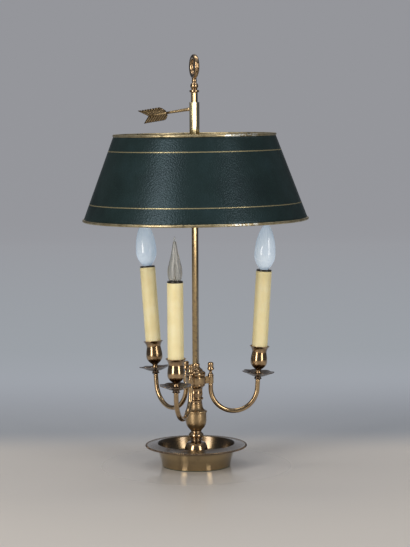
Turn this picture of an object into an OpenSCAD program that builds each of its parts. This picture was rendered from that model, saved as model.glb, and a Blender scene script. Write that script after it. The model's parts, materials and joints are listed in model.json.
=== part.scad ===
// Bouillotte lamp: dish base, turned baluster, three candle arms on lugs,
// square stem, sliding tole shade, arrow clamp key and ring finial.
// Millimetres, +Z up, origin at the centre of the felt's underside.
// +X is the lamp's right, -Y its front.

/* [Dish base] */
// Outer radius of the brim
dish_r = 84.3; // [70:0.1:110]
// Height of the brim's top above the table
dish_h = 35; // [28:0.5:50]
// Radius of the dish's mouth, where the brim begins
mouth_r = 62; // [56:0.5:68]
// Outer radius of the wall at the table
foot_r = 57; // [48:0.5:58]
// Wall of the dish
dish_wall = 2.2; // [1.5:0.1:3]
// Thickness of the brim
brim_t = 2.6; // [1.6:0.1:4]
// Height of the dish's floor on the inside
floor_z = 13; // [12:0.5:16]
// Thickness of the felt
felt_t = 1.2; // [0.8:0.1:2]
// Bore of the cord's bush
inlet_r = 3.4; // [2.5:0.1:4]

/* [Baluster] */
// Radius of the bell foot where it meets the dish
bell_r = 24.6; // [22:0.1:27]
// Top of the bell foot's upper knop
foot_top = 58; // [54:0.5:66]
// Height of the urn's ledge
ledge_z = 91.6; // [86:0.2:96]
// Radius of the urn's ledge
ledge_r = 18.2; // [17:0.1:22]
// Radius of the urn's belly
urn_r = 17.3; // [15:0.1:18]
// Joint between urn and column
urn_top = 104; // [100:0.5:108]
// Radius of the bead on the column
bead_r = 12.3; // [11:0.1:14]
// Radius of the flare under the hub
flare_r = 15.2; // [13:0.1:17]

/* [Hub and arms] */
// Underside of the hub's drum
hub_z = 136.3; // [130:0.1:142]
// Height of the drum and its lugs
hub_h = 13; // [12:0.5:16]
// Radius of the drum
drum_r = 17; // [14:0.1:18]
// Distance of a lug from the lamp's axis
lug_d = 25; // [24:0.1:32]
// Radius of a lug
lug_r = 4.9; // [4.6:0.1:6]
// Width of the web between drum and lug
web_w = 7; // [5.4:0.1:9]
// Turn of the right arm from the X axis, in degrees
first_turn = 10.5; // [0:0.5:30]
// Radius of each arm's bend at the tube's middle, right, left and front
bend_r = [39.3, 40.1, 39.8]; // [34:0.1:42]
// Drop of the bend's centre below the hub
bend_drop = 7.8; // [5:0.1:20]
// Outer radius of the arm's tube
tube_r = 4; // [3.8:0.1:4.5]
// Inner radius of the arm's tube
tube_bore_r = 2.95; // [2.7:0.05:3]
// Swing of each arm from its lug's line, right, left and front, in degrees
arm_swing = [-1.5, -0.8, 2.9]; // [-10:0.1:10]
// Outward lean of the candles, right, left and front, in degrees
lean = [3.4, 6.5, 0.7]; // [0:0.1:10]
// Length of the tube's straight end under the pan, right, left and front
riser_len = [15.6, 18, 9.8]; // [5:0.1:25]

/* [Candle] */
// Radius of the drip pan's lobes
pan_r = 27.4; // [24:0.1:30]
// Number of lobes
pan_lobes = 8; // [6:1:12]
// Height of the pan's rim above the collar's end
pan_h = 12.8; // [10:0.1:15]
// Height of the cup's lip above the collar's end
cup_h = 55.5; // [50:0.5:64]
// Radius of the cup's lip
lip_r = 16.8; // [15:0.1:18]
// Radius of the cup's belly
belly_r = 14.1; // [13:0.1:16]
// Outer radius of the candle tube
candle_r = 13; // [12.6:0.1:14]
// Wall of the candle tube
candle_wall = 0.9; // [0.6:0.1:1.2]
// Length of the candle tubes, right, left and front
candle_len = [127, 127.5, 124.2]; // [90:0.1:160]
// How far the holder's ring stands above the tube
holder_proud = 3; // [1:0.5:5]

/* [Bulbs] */
// Largest radius of the opal bulbs
opal_r = 17.5; // [15:0.1:19]
// Length of an opal bulb's glass
opal_len = 76.5; // [60:0.5:80]
// Largest radius of the clear bulb
clear_r = 11.8; // [10:0.1:14]
// Length of the clear bulb's glass
clear_len = 71; // [56:0.5:76]
// Wall of the glass
glass_wall = 0.8; // [0.6:0.1:1.2]
// Radius of the bulbs' neck
glass_neck_r = 6.4; // [6:0.1:6.8]
// Length of the bulbs' neck
glass_neck = 1.3; // [1:0.1:3]

/* [Stem] */
// Side of the square stem
stem_side = 8.4; // [7.6:0.1:8.8]
// Turn of the square stem about its axis, in degrees
stem_turn = 25; // [0:1:45]
// Top of the stem
stem_top = 616.3; // [560:0.1:660]
// Outer radius of the ring finial
ring_r = 20.3; // [16:0.1:26]
// Radius of the ring's section
ring_wire_r = 4.2; // [3:0.1:5]
// Gap between the knop's top and the ring
ring_gap = 1.1; // [0.4:0.1:3]
// Turn of the ring's hole from the X axis, in degrees
ring_turn = 16; // [0:1:90]

/* [Shade] */
// Drop of the sleeve's top below the stem's top
sleeve_drop = 15.6; // [14.5:0.1:40]
// Length of the sleeve
sleeve_len = 73; // [66:0.5:80]
// Outer side of the square sleeve
sleeve_side = 12.5; // [11.6:0.1:14]
// Drop of the shade's top below the sleeve's top
shade_drop = 51; // [43:0.1:54]
// Height of the shade
shade_h = 142.3; // [120:0.1:150]
// Radius of the shade's top rim
shade_top_r = 134.1; // [110:0.1:150]
// Radius of the shade's bottom rim
shade_bottom_r = 185.7; // [160:0.1:200]
// Thickness of the shade's sheet
sheet_t = 1; // [0.6:0.1:1.4]
// Radius of the rolled rims
rim_wire_r = 2.3; // [1.6:0.1:3]
// Rise of the shade's right side on its spider, in degrees
tilt_right = 0.5; // [0:0.1:2]
// Rise of the shade's front on its spider, in degrees
tilt_front = 0.2; // [0:0.1:2]

/* [Clamp key] */
// Drop of the key's screw below the sleeve's top
key_drop = 11.1; // [8.8:0.1:26]
// Droop of the key, in degrees
key_droop = 8.4; // [0:0.1:12]
// Roll of the key's vanes from upright, in degrees
key_roll = -36; // [-90:1:90]
// Radius of the clamp screw
screw_r = 2.45; // [2:0.05:3]
// Pitch of the clamp screw
screw_pitch = 0.8; // [0.5:0.05:1]
// Distance from the sleeve to the front of the vanes
vane_start = 41; // [30:0.5:50]
// Distance from the sleeve to the tips of the vanes
vane_end = 92.8; // [70:0.1:100]
// Half of the vanes' height
vane_w = 13.2; // [9:0.1:15]
// Thickness of the vanes
vane_t = 1.6; // [1:0.1:2.4]

/* [Hidden] */
$fn = 64;
ARMS = ["right", "left", "front"];
ARM_PIECES = [
    "arm", "lug_finial", "drip_pan", "candle_cup", "socket_riser",
    "lampholder", "candle_tube", "bulb_glass", "bulb_cap", "arm_lead"
];

brass = "#8f6f3e";
dark_brass = "#6b5540";
pale_brass = "#d5cba8";

// Clearances
fit = 0.05;        // a turned piece in its bore
seat = 0.05;       // between two faces that rub
slide_fit = 0.15;  // sleeve on the stem, each side
solder = 0.04;     // spider against the shade's wall

// Base
pipe_r = 4.9;
pipe_bore_r = 3.9;
floor_t = 2.2;
floor_under = floor_z - floor_t;
washer_r = 12;
washer_t = 1.2;
nut_flats = 14;
nut_h = 3.8;
pipe_bottom = floor_under - washer_t - nut_h - 0.8;
inlet_flange_r = 5;
inlet_flange_t = 1.2;
inlet_len = 8;
inlet_z = 6.2;
inlet_face = foot_r + 0.8;   // bush's outer end, flush with the wall
recess_r = foot_r - 3.2;
block_size = [20, 12, 5.6];
block_y = 30;

// Hub
chamber_r = 7.5;
chamber_low = hub_z + 4.7;
chamber_high = hub_z + 9.7;
hub_top = hub_z + hub_h;
wire_z = hub_z + 6.5;
wire_hole_r = 1.7;
tail_r = 3.9;        // round tail of the stem
shoulder_z = hub_top + 8.7;
cap_top = hub_top + 20.7;

// Arms
spigot_r = 3;
spigot_bore_r = 1.75;
stud_r = 1.9;
stud_len = 3.8;
bend_z = hub_z - bend_drop;
arm_turns = [first_turn, first_turn + 120, first_turn + 240];

// Candle stack, measured along the leaning axis from the collar's end
collar_r = 6.5;
pan_floor = 5;
pan_t = 1.1;
riser_r = 2.85;
riser_bore_r = 2;
candle_seat = cup_h - 2.6;
holder_len = 52;
holder_r = candle_r - candle_wall - 0.3;
socket_r = 7.4;
socket_depth = 32;
cap_r = 6.9;
cap_len = 24;
function holder_top(k) = candle_seat + candle_len[k] + holder_proud;
function holder_low(k) = holder_top(k) - holder_len;
function glass_low(k) = holder_top(k) - 1;

// Bulb outlines, each point as a share of the largest radius and of the length
opal_shape = [
    [0.45, 0.02], [0.58, 0.05], [0.7, 0.09], [0.82, 0.14], [0.94, 0.2], [0.99, 0.27], [1, 0.35], [0.97, 0.45],
    [0.92, 0.55], [0.845, 0.64], [0.74, 0.725], [0.61, 0.81], [0.43, 0.895], [0.26, 0.955], [0.12, 0.988]
];
clear_shape = [
    [0.82, 0.01], [0.9, 0.045], [0.98, 0.11], [1, 0.17], [0.98, 0.25], [0.9, 0.335], [0.75, 0.425], [0.6, 0.515],
    [0.49, 0.605], [0.4, 0.695], [0.3, 0.785], [0.2, 0.875], [0.09, 0.96]
];

// Stem and finial
knop_h = 20.7;
knop_top = stem_top + knop_h;
ring_z = knop_top + ring_gap + ring_r;
ring_mid_r = ring_r - ring_wire_r;

// Shade
sleeve_top = stem_top - sleeve_drop;
sleeve_bore = stem_side + 2 * slide_fit;
sleeve_low = sleeve_top - sleeve_len;
shade_top = sleeve_top - shade_drop;
shade_slope = (shade_bottom_r - shade_top_r) / (shade_h - 2 * rim_wire_r);
top_wire_r = shade_top_r - rim_wire_r;
bottom_wire_r = shade_bottom_r - rim_wire_r;
top_wire_z = shade_top - rim_wire_r;
bottom_wire_z = shade_top - shade_h + rim_wire_r;
spider_z = sleeve_low + 3;
bar_w = 7;
bar_t = 2.4;
tab_h = 14;
tab_t = 1.2;
tab_angle = 14;

// Clamp key
key_z = sleeve_top - key_drop;
key_gap = 0.8;      // shoulder to sleeve at rest
shoe_t = 0.9;
shaft_root_r = 3;
shaft_end_r = 1.9;
notch_depth = 14.2;
barbs = 7;          // small nicks along each vane's edge
barb_len = 2.2;
barb_depths = [0.9, 1.8];   // lower and upper vane

// Places a child on arm k: origin on the lug's axis, +X outwards
module on_arm(k) {
    rotate([0, 0, arm_turns[k]]) translate([lug_d, 0, 0]) rotate([0, 0, arm_swing[k]]) children();
}

// Places a child on arm k's leaning candle axis, origin at the collar's end
module on_candle(k) {
    on_arm(k)
        translate([bend_r[k], 0, bend_z])
            rotate([0, lean[k], 0])
                translate([bend_r[k], 0, riser_len[k]]) children();
}

// Places a child in the tilted frame of the shade
module on_shade() {
    translate([0, 0, spider_z]) rotate([-tilt_front, -tilt_right, 0])
        translate([0, 0, -spider_z]) children();
}

// Places a child on the key's axis: origin on the sleeve's face, +Z outwards
module on_key() {
    rotate([0, 0, 180 - stem_turn])
        translate([sleeve_side / 2, 0, key_z])
            rotate([0, 90 + key_droop, 0]) children();
}

// Square bar along Z, turned with the stem
module square_bar(side, low, high) {
    rotate([0, 0, -stem_turn])
        translate([-side / 2, -side / 2, low]) cube([side, side, high - low]);
}

module ring_of(r, wire) {
    rotate_extrude($fn = 128) translate([r, 0]) circle(wire, $fn = 32);
}

// ---- base ----

module base_felt() {
    color("#3d4a3a") cylinder(h = felt_t, r = foot_r - 0.6, $fn = 128);
}

module base_dish() {
    color(brass) difference() {
        rotate_extrude($fn = 180) difference() {
            union() {
                // wall, flaring into the brim
                polygon([
                    [0, felt_t], [foot_r, felt_t], [foot_r + 0.5, dish_h * 0.13],
                    [foot_r + 1.3, dish_h * 0.24], [foot_r + 2.9, dish_h * 0.4],
                    [foot_r + 4.6, dish_h * 0.57], [mouth_r + 1.6, dish_h * 0.74],
                    [mouth_r + 4, dish_h - brim_t - 1.4], [mouth_r + 8, dish_h - brim_t],
                    [dish_r - brim_t / 2, dish_h - brim_t], [dish_r - brim_t / 2, dish_h], [0, dish_h]
                ]);
                translate([dish_r - brim_t / 2, dish_h - brim_t / 2]) circle(brim_t / 2, $fn = 32);
            }
            // hollow of the dish
            polygon([
                [-1, floor_z], [foot_r - dish_wall - 2, floor_z],
                [foot_r - dish_wall + 1, floor_z + 1.2], [foot_r + 2.9 - dish_wall, floor_z + 4],
                [mouth_r - 2, dish_h * 0.74], [mouth_r, dish_h - 2], [mouth_r + 1.2, dish_h - 0.6],
                [mouth_r + 3, dish_h + 0.01], [-1, dish_h + 0.01]
            ]);
            // recess under the floor
            translate([-1, 0]) square([recess_r + 1, floor_under]);
        }
        translate([0, 0, floor_under - 1]) cylinder(h = floor_t + 2, r = pipe_r + fit);
        translate([0, inlet_face + 3, inlet_z]) rotate([90, 0, 0]) {
            cylinder(h = 12, r = inlet_r + 1 + fit);
            cylinder(h = 3 + inlet_flange_t, r = inlet_flange_r + fit);
        }
    }
}

module base_washer() {
    color("silver") translate([0, 0, floor_under - washer_t]) difference() {
        cylinder(h = washer_t, r = washer_r);
        translate([0, 0, -1]) cylinder(h = washer_t + 2, r = pipe_r + fit);
    }
}

module base_nut() {
    color("silver") translate([0, 0, floor_under - washer_t - nut_h]) difference() {
        cylinder(h = nut_h, r = nut_flats / 2 / cos(30), $fn = 6);
        translate([0, 0, -1]) cylinder(h = nut_h + 2, r = pipe_r + fit);
    }
}

module lamp_pipe() {
    color("silver") translate([0, 0, pipe_bottom]) difference() {
        cylinder(h = chamber_low - pipe_bottom, r = pipe_r);
        translate([0, 0, -1]) cylinder(h = chamber_low - pipe_bottom + 2, r = pipe_bore_r);
    }
}

module cord_bush() {
    color("#2a211b") translate([0, inlet_face, inlet_z]) rotate([90, 0, 0]) difference() {
        union() {
            cylinder(h = inlet_len, r = inlet_r + 1);
            cylinder(h = inlet_flange_t, r = inlet_flange_r);
        }
        translate([0, 0, -1]) cylinder(h = inlet_len + 2, r = inlet_r);
    }
}

module terminal_block() {
    color("ivory") translate([-block_size[0] / 2, block_y - block_size[1] / 2, floor_under - block_size[2]])
        difference() {
            cube(block_size);
            for (i = [0:2]) translate([4 + 6 * i, -1, block_size[2] / 2])
                rotate([-90, 0, 0]) cylinder(h = block_size[1] + 2, r = 1.3);
        }
}

// ---- baluster ----

// A turned piece with the pipe's bore through it
module turned(outline, bore) {
    difference() {
        rotate_extrude($fn = 128) polygon(outline);
        translate([0, 0, -1]) cylinder(h = knop_top + 2, r = bore);
    }
}

module baluster_foot() {
    color(dark_brass) turned([
        [0, floor_z], [bell_r, floor_z], [bell_r, floor_z + 1.4], [bell_r - 1.2, floor_z + 2.4],
        [bell_r - 2.6, floor_z + 4.6], [bell_r - 3.8, floor_z + 8], [bell_r - 4.8, floor_z + 12],
        [bell_r - 6, floor_z + 16.4], [bell_r - 6.8, floor_z + 19.6], [bell_r - 7.8, foot_top - 22.4],
        [bell_r - 9.4, foot_top - 20.2], [bell_r - 11.8, foot_top - 18.8], [10, foot_top - 18.2],
        [8.4, foot_top - 17.8], [8.2, foot_top - 17.2], [9.4, foot_top - 16.6],
        [10.2, foot_top - 15.6], [10.2, foot_top - 14.4], [9.4, foot_top - 13.4],
        [8.4, foot_top - 12.8], [8.6, foot_top - 11.9], [10.4, foot_top - 11.1],
        [12, foot_top - 9.8], [12.7, foot_top - 8], [12.6, foot_top - 6.6],
        [11.6, foot_top - 4.8], [9.8, foot_top - 3.2], [8.9, foot_top - 2.2],
        [8.8, foot_top], [0, foot_top]
    ], pipe_r + fit);
}

module baluster_urn() {
    color(dark_brass) turned([
        [0, foot_top], [8.8, foot_top], [9.6, foot_top + 1.4], [11.4, foot_top + 3.4],
        [13.6, foot_top + 5.8], [15.5, foot_top + 9], [urn_r - 0.5, foot_top + 12.6],
        [urn_r, foot_top + 18], [urn_r, foot_top + 24], [urn_r - 0.3, ledge_z - 3.6],
        [ledge_r - 0.4, ledge_z - 3], [ledge_r, ledge_z - 2.2], [ledge_r, ledge_z - 0.7],
        [ledge_r - 0.6, ledge_z], [15.6, ledge_z + 0.4], [13.4, ledge_z + 2],
        [11.9, ledge_z + 4.4], [11, ledge_z + 8], [10.6, urn_top], [0, urn_top]
    ], pipe_r + fit);
}

module baluster_column() {
    color(dark_brass) turned([
        [0, urn_top], [10.6, urn_top], [10.3, urn_top + 3], [10.4, urn_top + 6],
        [11.4, urn_top + 6.6], [bead_r, urn_top + 7.4], [bead_r, urn_top + 9],
        [11.4, urn_top + 9.9], [10.7, urn_top + 10.4], [11, urn_top + 13], [11.3, urn_top + 16],
        [11, urn_top + 19], [10.7, urn_top + 22], [11.2, hub_z - 7.4], [12.8, hub_z - 5],
        [flare_r - 0.5, hub_z - 3.2], [flare_r, hub_z - 2.2], [flare_r, hub_z], [0, hub_z]
    ], pipe_r + fit);
}

// ---- hub ----

module arm_hub() {
    color(brass) difference() {
        union() {
            translate([0, 0, hub_z]) rotate([0, 0, first_turn + 60]) cylinder(h = hub_h, r = drum_r, $fn = 128);
            for (turn = arm_turns) rotate([0, 0, turn]) {
                translate([drum_r - 4, -web_w / 2, hub_z]) cube([lug_d - drum_r + 4, web_w, hub_h]);
                translate([lug_d, 0, hub_z]) cylinder(h = hub_h, r = lug_r);
            }
        }
        translate([0, 0, hub_z - 1]) cylinder(h = chamber_low - hub_z + 2, r = pipe_r + fit);
        translate([0, 0, chamber_low]) cylinder(h = chamber_high - chamber_low, r = chamber_r);
        translate([0, 0, chamber_high - 1]) cylinder(h = hub_h, r = tail_r + fit);
        for (turn = arm_turns) rotate([0, 0, turn]) {
            translate([lug_d, 0, hub_z - 1]) cylinder(h = hub_h + 2, r = spigot_r + fit);
            translate([0, 0, wire_z]) rotate([0, 90, 0]) cylinder(h = lug_d - 1, r = wire_hole_r);
        }
    }
}

module hub_cap() {
    color(dark_brass) difference() {
        rotate_extrude($fn = 128) polygon([
            [0, hub_top], [14.6, hub_top], [15.4, hub_top + 1.2], [16.4, hub_top + 3.4],
            [16.2, hub_top + 5.6], [15, hub_top + 7.4], [12.8, hub_top + 8.8],
            [11.4, hub_top + 9.6], [11.2, hub_top + 11], [10.7, hub_top + 12],
            [8.6, hub_top + 13], [7.1, hub_top + 14.6], [6.5, hub_top + 15.6],
            [6.7, hub_top + 17], [6.7, hub_top + 19.4], [6.5, cap_top], [0, cap_top]
        ]);
        translate([0, 0, hub_top - 1]) cylinder(h = hub_h, r = tail_r + fit);
        square_bar(stem_side + 2 * fit, shoulder_z, cap_top + 1);
    }
}

module hub_leads() {
    bundle_r = 3.4;
    low_z = felt_t + 2.4;
    color("#cfc6ae") {
        translate([0, 0, low_z]) cylinder(h = wire_z - low_z, r = bundle_r);
        translate([0, 0, low_z]) rotate([-90, 0, 0])
            cylinder(h = block_y - block_size[1] / 2 - fit, r = 1.1);
        for (turn = arm_turns) rotate([0, 0, turn]) translate([0, 0, wire_z])
            rotate([0, 90, 0]) cylinder(h = lug_d - spigot_r - 0.8, r = 1.3);
    }
}

// ---- stem and finial ----

module stem() {
    color(pale_brass) difference() {
        union() {
            square_bar(stem_side, shoulder_z, stem_top);
            translate([0, 0, chamber_high]) cylinder(h = shoulder_z - chamber_high + 1, r = tail_r);
        }
        translate([0, 0, stem_top - 12]) cylinder(h = 13, r = 2 + fit);
    }
}

module top_knop() {
    color(brass) turned([
        [0, stem_top], [7.2, stem_top], [8, stem_top + 0.8], [8, stem_top + 3.2],
        [7, stem_top + 4.2], [4.8, stem_top + 4.8], [4.6, stem_top + 5.4],
        [5.8, stem_top + 7], [6.5, stem_top + 9.4], [6.5, stem_top + 11.4],
        [5.8, stem_top + 13.8], [4.2, stem_top + 15.4], [3.5, stem_top + 16.4],
        [3.8, stem_top + 17.4], [4.2, stem_top + 18.6], [4.2, stem_top + 19.6],
        [3.7, knop_top], [0, knop_top]
    ], 2 + fit);
}

module ring_finial() {
    color(dark_brass) {
        difference() {
            union() {
                translate([0, 0, ring_z]) rotate([0, 90, ring_turn]) ring_of(ring_mid_r, ring_wire_r);
                translate([0, 0, knop_top]) cylinder(h = 6, r1 = 3.7, r2 = 4.6);
            }
            // the neck stays outside the ring's hole
            translate([0, 0, ring_z]) rotate([0, 90, ring_turn]) translate([0, 0, -10])
                cylinder(h = 20, r = ring_mid_r - ring_wire_r);
        }
        translate([0, 0, stem_top - 11]) cylinder(h = knop_top - stem_top + 12, r = 2);
    }
}

// ---- arms ----

// A rod along arm k's whole bend: up the lug's axis to inner_top and up the
// candle's axis to outer_top. The straight legs are a hair fuller and lap the bend.
module bent_rod(k, r, inner_top, outer_top) {
    leg_r = r + 0.1;
    lap = 1;
    on_arm(k) {
        translate([0, 0, bend_z - lap]) cylinder(h = inner_top - bend_z + lap, r = leg_r);
        translate([bend_r[k], 0, bend_z]) rotate([90, 0, 0]) rotate([0, 0, 180])
            rotate_extrude(angle = 180 - lean[k], $fn = 128) translate([bend_r[k], 0]) circle(r);
    }
    on_candle(k) translate([0, 0, -riser_len[k] - lap])
        cylinder(h = outer_top + riser_len[k] + lap, r = leg_r);
}

module arm(k) {
    color(brass) difference() {
        union() {
            bent_rod(k, tube_r, hub_z - seat, 0);
            on_arm(k) {
                translate([0, 0, hub_z - 1]) cylinder(h = hub_h + 1 + seat, r = spigot_r);
                translate([0, 0, hub_top]) cylinder(h = stud_len, r = stud_r);
            }
        }
        bent_rod(k, tube_bore_r, hub_z - 2.4, 1);
        on_arm(k) {
            translate([0, 0, bend_z]) cylinder(h = wire_z + wire_hole_r - bend_z, r = spigot_bore_r);
            translate([0, 0, wire_z]) rotate([0, -90, 0]) cylinder(h = spigot_r + 1, r = wire_hole_r);
        }
    }
}

module lug_finial(k) {
    color(dark_brass) on_arm(k) translate([0, 0, hub_top + seat]) difference() {
        rotate_extrude() polygon([
            [0, 0], [5, 0], [5, 0.9], [4.4, 1.8], [4, 3], [3.2, 4.4], [2.4, 5.8], [2.1, 7.4],
            [2.8, 8.4], [4.5, 9.3], [5.6, 10.4], [5.8, 11.4], [5.5, 12.6], [4.8, 13.8],
            [4.6, 15], [4.8, 17], [4.9, 19], [4.8, 20.6], [4.2, 22], [2.6, 22.8], [0, 23.1]
        ]);
        translate([0, 0, -1]) cylinder(h = stud_len + 1.2, r = stud_r + fit);
    }
}

module drip_pan(k) {
    lobe_r = pan_r * sin(180 / pan_lobes) * 1.12;
    lip = 1.6;
    color(dark_brass) on_candle(k) difference() {
        union() {
            // lobed pan
            intersection() {
                rotate_extrude($fn = 128) polygon([
                    [0, pan_floor - 1], [6.8, pan_floor - 1], [10.5, pan_floor],
                    [15.5, pan_floor + 1.9], [20.5, pan_floor + 4.3], [24.5, pan_floor + 5.6],
                    [pan_r + 1, pan_h - lip], [pan_r + 1, pan_h - lip + pan_t],
                    [24.1, pan_floor + 5.6 + pan_t], [20, pan_floor + 4.4 + pan_t],
                    [15, pan_floor + 2 + pan_t], [10, pan_floor + 0.2 + pan_t],
                    [6.8, pan_floor + pan_t - 0.4], [0, pan_floor + pan_t - 0.4]
                ]);
                linear_extrude(pan_h + 2) union() {
                    circle(pan_r - lobe_r, $fn = 96);
                    for (i = [0:pan_lobes - 1]) rotate(360 / pan_lobes * i)
                        translate([pan_r - lobe_r, 0]) circle(lobe_r, $fn = 48);
                }
            }
            // collar under it
            rotate_extrude() polygon([
                [0, 0], [collar_r, 0], [collar_r, 1], [5.6, 1.9], [5.2, 3],
                [5.8, pan_floor - 0.6], [7.2, pan_floor], [0, pan_floor]
            ]);
        }
        translate([0, 0, -1]) cylinder(h = pan_h + 2, r = riser_r + fit);
    }
}

module candle_cup(k) {
    low = pan_floor + pan_t - 0.4;
    neck_z = cup_h - 11;
    color(dark_brass) on_candle(k) difference() {
        rotate_extrude($fn = 96) difference() {
            polygon([
                [0, low], [4.6, low], [4.9, low + 1.2], [5.5, low + 3], [5.5, low + 5.8],
                [4.9, low + 7.4], [4.1, low + 8.4], [4.3, low + 9.6], [6.2, low + 11],
                [6.6, low + 11.8], [9, low + 13.6], [11.8, low + 16.6], [13.5, low + 19.8],
                [belly_r, low + 23.4], [belly_r - 0.2, low + 28], [belly_r - 0.9, low + 32.6],
                [12.3, neck_z - 1.6], [12, neck_z + 0.8], [12.5, neck_z + 4],
                [13.9, cup_h - 4.2], [15.6, cup_h - 1.9], [lip_r, cup_h - 0.9],
                [lip_r, cup_h], [0, cup_h]
            ]);
            // seat of the candle tube, then the hollow below it
            translate([-1, candle_seat]) square([candle_r + 1 + 2 * fit, 10]);
            polygon([
                [-1, low + 20], [9.5, low + 20], [10.9, low + 24], [10.9, neck_z],
                [11.1, candle_seat + 1], [-1, candle_seat + 1]
            ]);
        }
        translate([0, 0, low - 1]) cylinder(h = 22, r = riser_r + fit);
    }
}

module socket_riser(k) {
    below = 6;
    color("silver") on_candle(k) translate([0, 0, -below]) difference() {
        cylinder(h = holder_low(k) + 4 + below, r = riser_r);
        translate([0, 0, -1]) cylinder(h = holder_low(k) + 6 + below, r = riser_bore_r);
    }
}

module lampholder(k) {
    top = holder_top(k);
    ring_h = holder_proud - seat;
    color("#1c1a19") on_candle(k) difference() {
        union() {
            translate([0, 0, holder_low(k)]) cylinder(h = holder_len, r = holder_r);
            translate([0, 0, top - ring_h]) cylinder(h = ring_h, r = candle_r - 0.5);
        }
        translate([0, 0, holder_low(k) - 1]) cylinder(h = 6, r = riser_r + fit);
        translate([0, 0, top - socket_depth]) cylinder(h = socket_depth + 1, r = socket_r);
    }
}

module candle_tube(k) {
    color("#e5d9a5") on_candle(k) translate([0, 0, candle_seat + seat]) difference() {
        cylinder(h = candle_len[k] - seat, r = candle_r, $fn = 96);
        translate([0, 0, -1]) cylinder(h = candle_len[k] + 2, r = candle_r - candle_wall, $fn = 96);
    }
}

// Blown glass of a bulb: a neck, then the shape's points up to a closed tip
module bulb_envelope(shape, r, height, neck) {
    outer = [for (p = shape) [p[0] * r, glass_neck + p[1] * height]];
    inner = [for (p = shape) if (p[0] * r > 2 * glass_wall)
        [p[0] * r - glass_wall, glass_neck + max(p[1] * height, glass_wall)]];
    rotate_extrude($fn = 96) difference() {
        polygon(concat([[0, 0], [neck, 0], [neck, glass_neck]], outer, [[0, glass_neck + height]]));
        polygon(concat([[-1, -1], [neck - glass_wall, -1], [neck - glass_wall, glass_neck]],
                       inner, [[-1, inner[len(inner) - 1][1]]]));
    }
}

module bulb_glass(k) {
    clear = ARMS[k] == "front";
    color(clear ? "#dfe6e6" : "#c9d2dc", clear ? 0.35 : 1) on_candle(k) translate([0, 0, glass_low(k)])
        if (clear) bulb_envelope(clear_shape, clear_r, clear_len, glass_neck_r);
        else bulb_envelope(opal_shape, opal_r, opal_len, glass_neck_r);
}

module bulb_cap(k) {
    color("silver") on_candle(k) translate([0, 0, glass_low(k) - cap_len]) difference() {
        union() {
            translate([0, 0, 3]) cylinder(h = cap_len - 3 - seat, r = cap_r);
            cylinder(h = 3, r1 = 2.5, r2 = cap_r);
        }
        translate([0, 0, 5]) cylinder(h = cap_len, r = cap_r - 0.8);
    }
}

module bulb_filament_front() {
    color("#b9b4a8") on_candle(2) translate([0, 0, glass_low(2) - cap_len + 5]) {
        cylinder(h = cap_len + 4, r = 2);
        for (side = [-1, 1]) translate([side * 1.5, 0, cap_len + 3]) cylinder(h = 20, r = 0.35);
        translate([-1.5, 0, cap_len + 22]) rotate([0, 90, 0]) cylinder(h = 3, r = 0.5);
    }
}

module arm_lead(k) {
    color("#cfc6ae") bent_rod(k, 1.5, wire_z, holder_low(k) + 4.6);
}

// ---- shade ----

module shade_sleeve() {
    color(pale_brass) difference() {
        square_bar(sleeve_side, sleeve_low, sleeve_top);
        square_bar(sleeve_bore, sleeve_low - 1, sleeve_top + 1);
        on_key() translate([0, 0, -4]) cylinder(h = 8, r = screw_r + fit);
    }
}

// Solid cone inside the shade's sheet, drawn in by a gap
module shade_core(gap) {
    drop = 60;
    translate([0, 0, top_wire_z - drop])
        cylinder(h = drop + 2,
                 r1 = top_wire_r + drop * shade_slope - sheet_t / 2 - gap,
                 r2 = top_wire_r - 2 * shade_slope - sheet_t / 2 - gap, $fn = 180);
}

module shade_spider() {
    color(brass) {
        difference() {
            translate([0, 0, sleeve_low]) cylinder(h = 6, r = sleeve_side * 0.5 * sqrt(2) + 2.6);
            square_bar(sleeve_side + 2 * solder, sleeve_low - 1, sleeve_low + 8);
        }
        on_shade() for (turn = [30, 150, 270]) rotate([0, 0, turn]) {
            intersection() {
                translate([sleeve_side * 0.5 * sqrt(2) + 1, -bar_w / 2, spider_z - bar_t / 2])
                    cube([shade_bottom_r, bar_w, bar_t]);
                shade_core(solder);
            }
            // tab that follows the wall
            rotate([0, 0, -tab_angle / 2]) intersection() {
                rotate_extrude(angle = tab_angle, $fn = 180)
                    translate([top_wire_r - 20, spider_z - bar_t / 2]) square([60, tab_h]);
                difference() {
                    shade_core(solder);
                    shade_core(solder + tab_t);
                }
            }
        }
    }
}

module shade_cone() {
    color("#22312f") on_shade() difference() {
        rotate_extrude($fn = 180) polygon([
            [bottom_wire_r - sheet_t / 2, bottom_wire_z], [bottom_wire_r + sheet_t / 2, bottom_wire_z],
            [top_wire_r + sheet_t / 2, top_wire_z], [top_wire_r - sheet_t / 2, top_wire_z]
        ]);
        translate([0, 0, bottom_wire_z]) ring_of(bottom_wire_r, rim_wire_r);
        translate([0, 0, top_wire_z]) ring_of(top_wire_r, rim_wire_r);
    }
}

module shade_top_bead() {
    color("#bab397") on_shade() translate([0, 0, top_wire_z]) ring_of(top_wire_r, rim_wire_r);
}

module shade_bottom_bead() {
    color("#bab397") on_shade() translate([0, 0, bottom_wire_z]) ring_of(bottom_wire_r, rim_wire_r);
}

// ---- clamp key ----

module clamp_shoe() {
    face = stem_side / 2 + 0.1;
    color("silver") difference() {
        on_key() translate([0, 0, -4]) cylinder(h = 4 - shoe_t, r = screw_r);
        square_bar(2 * face, key_z - 10, key_z + 10);
    }
}

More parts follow.
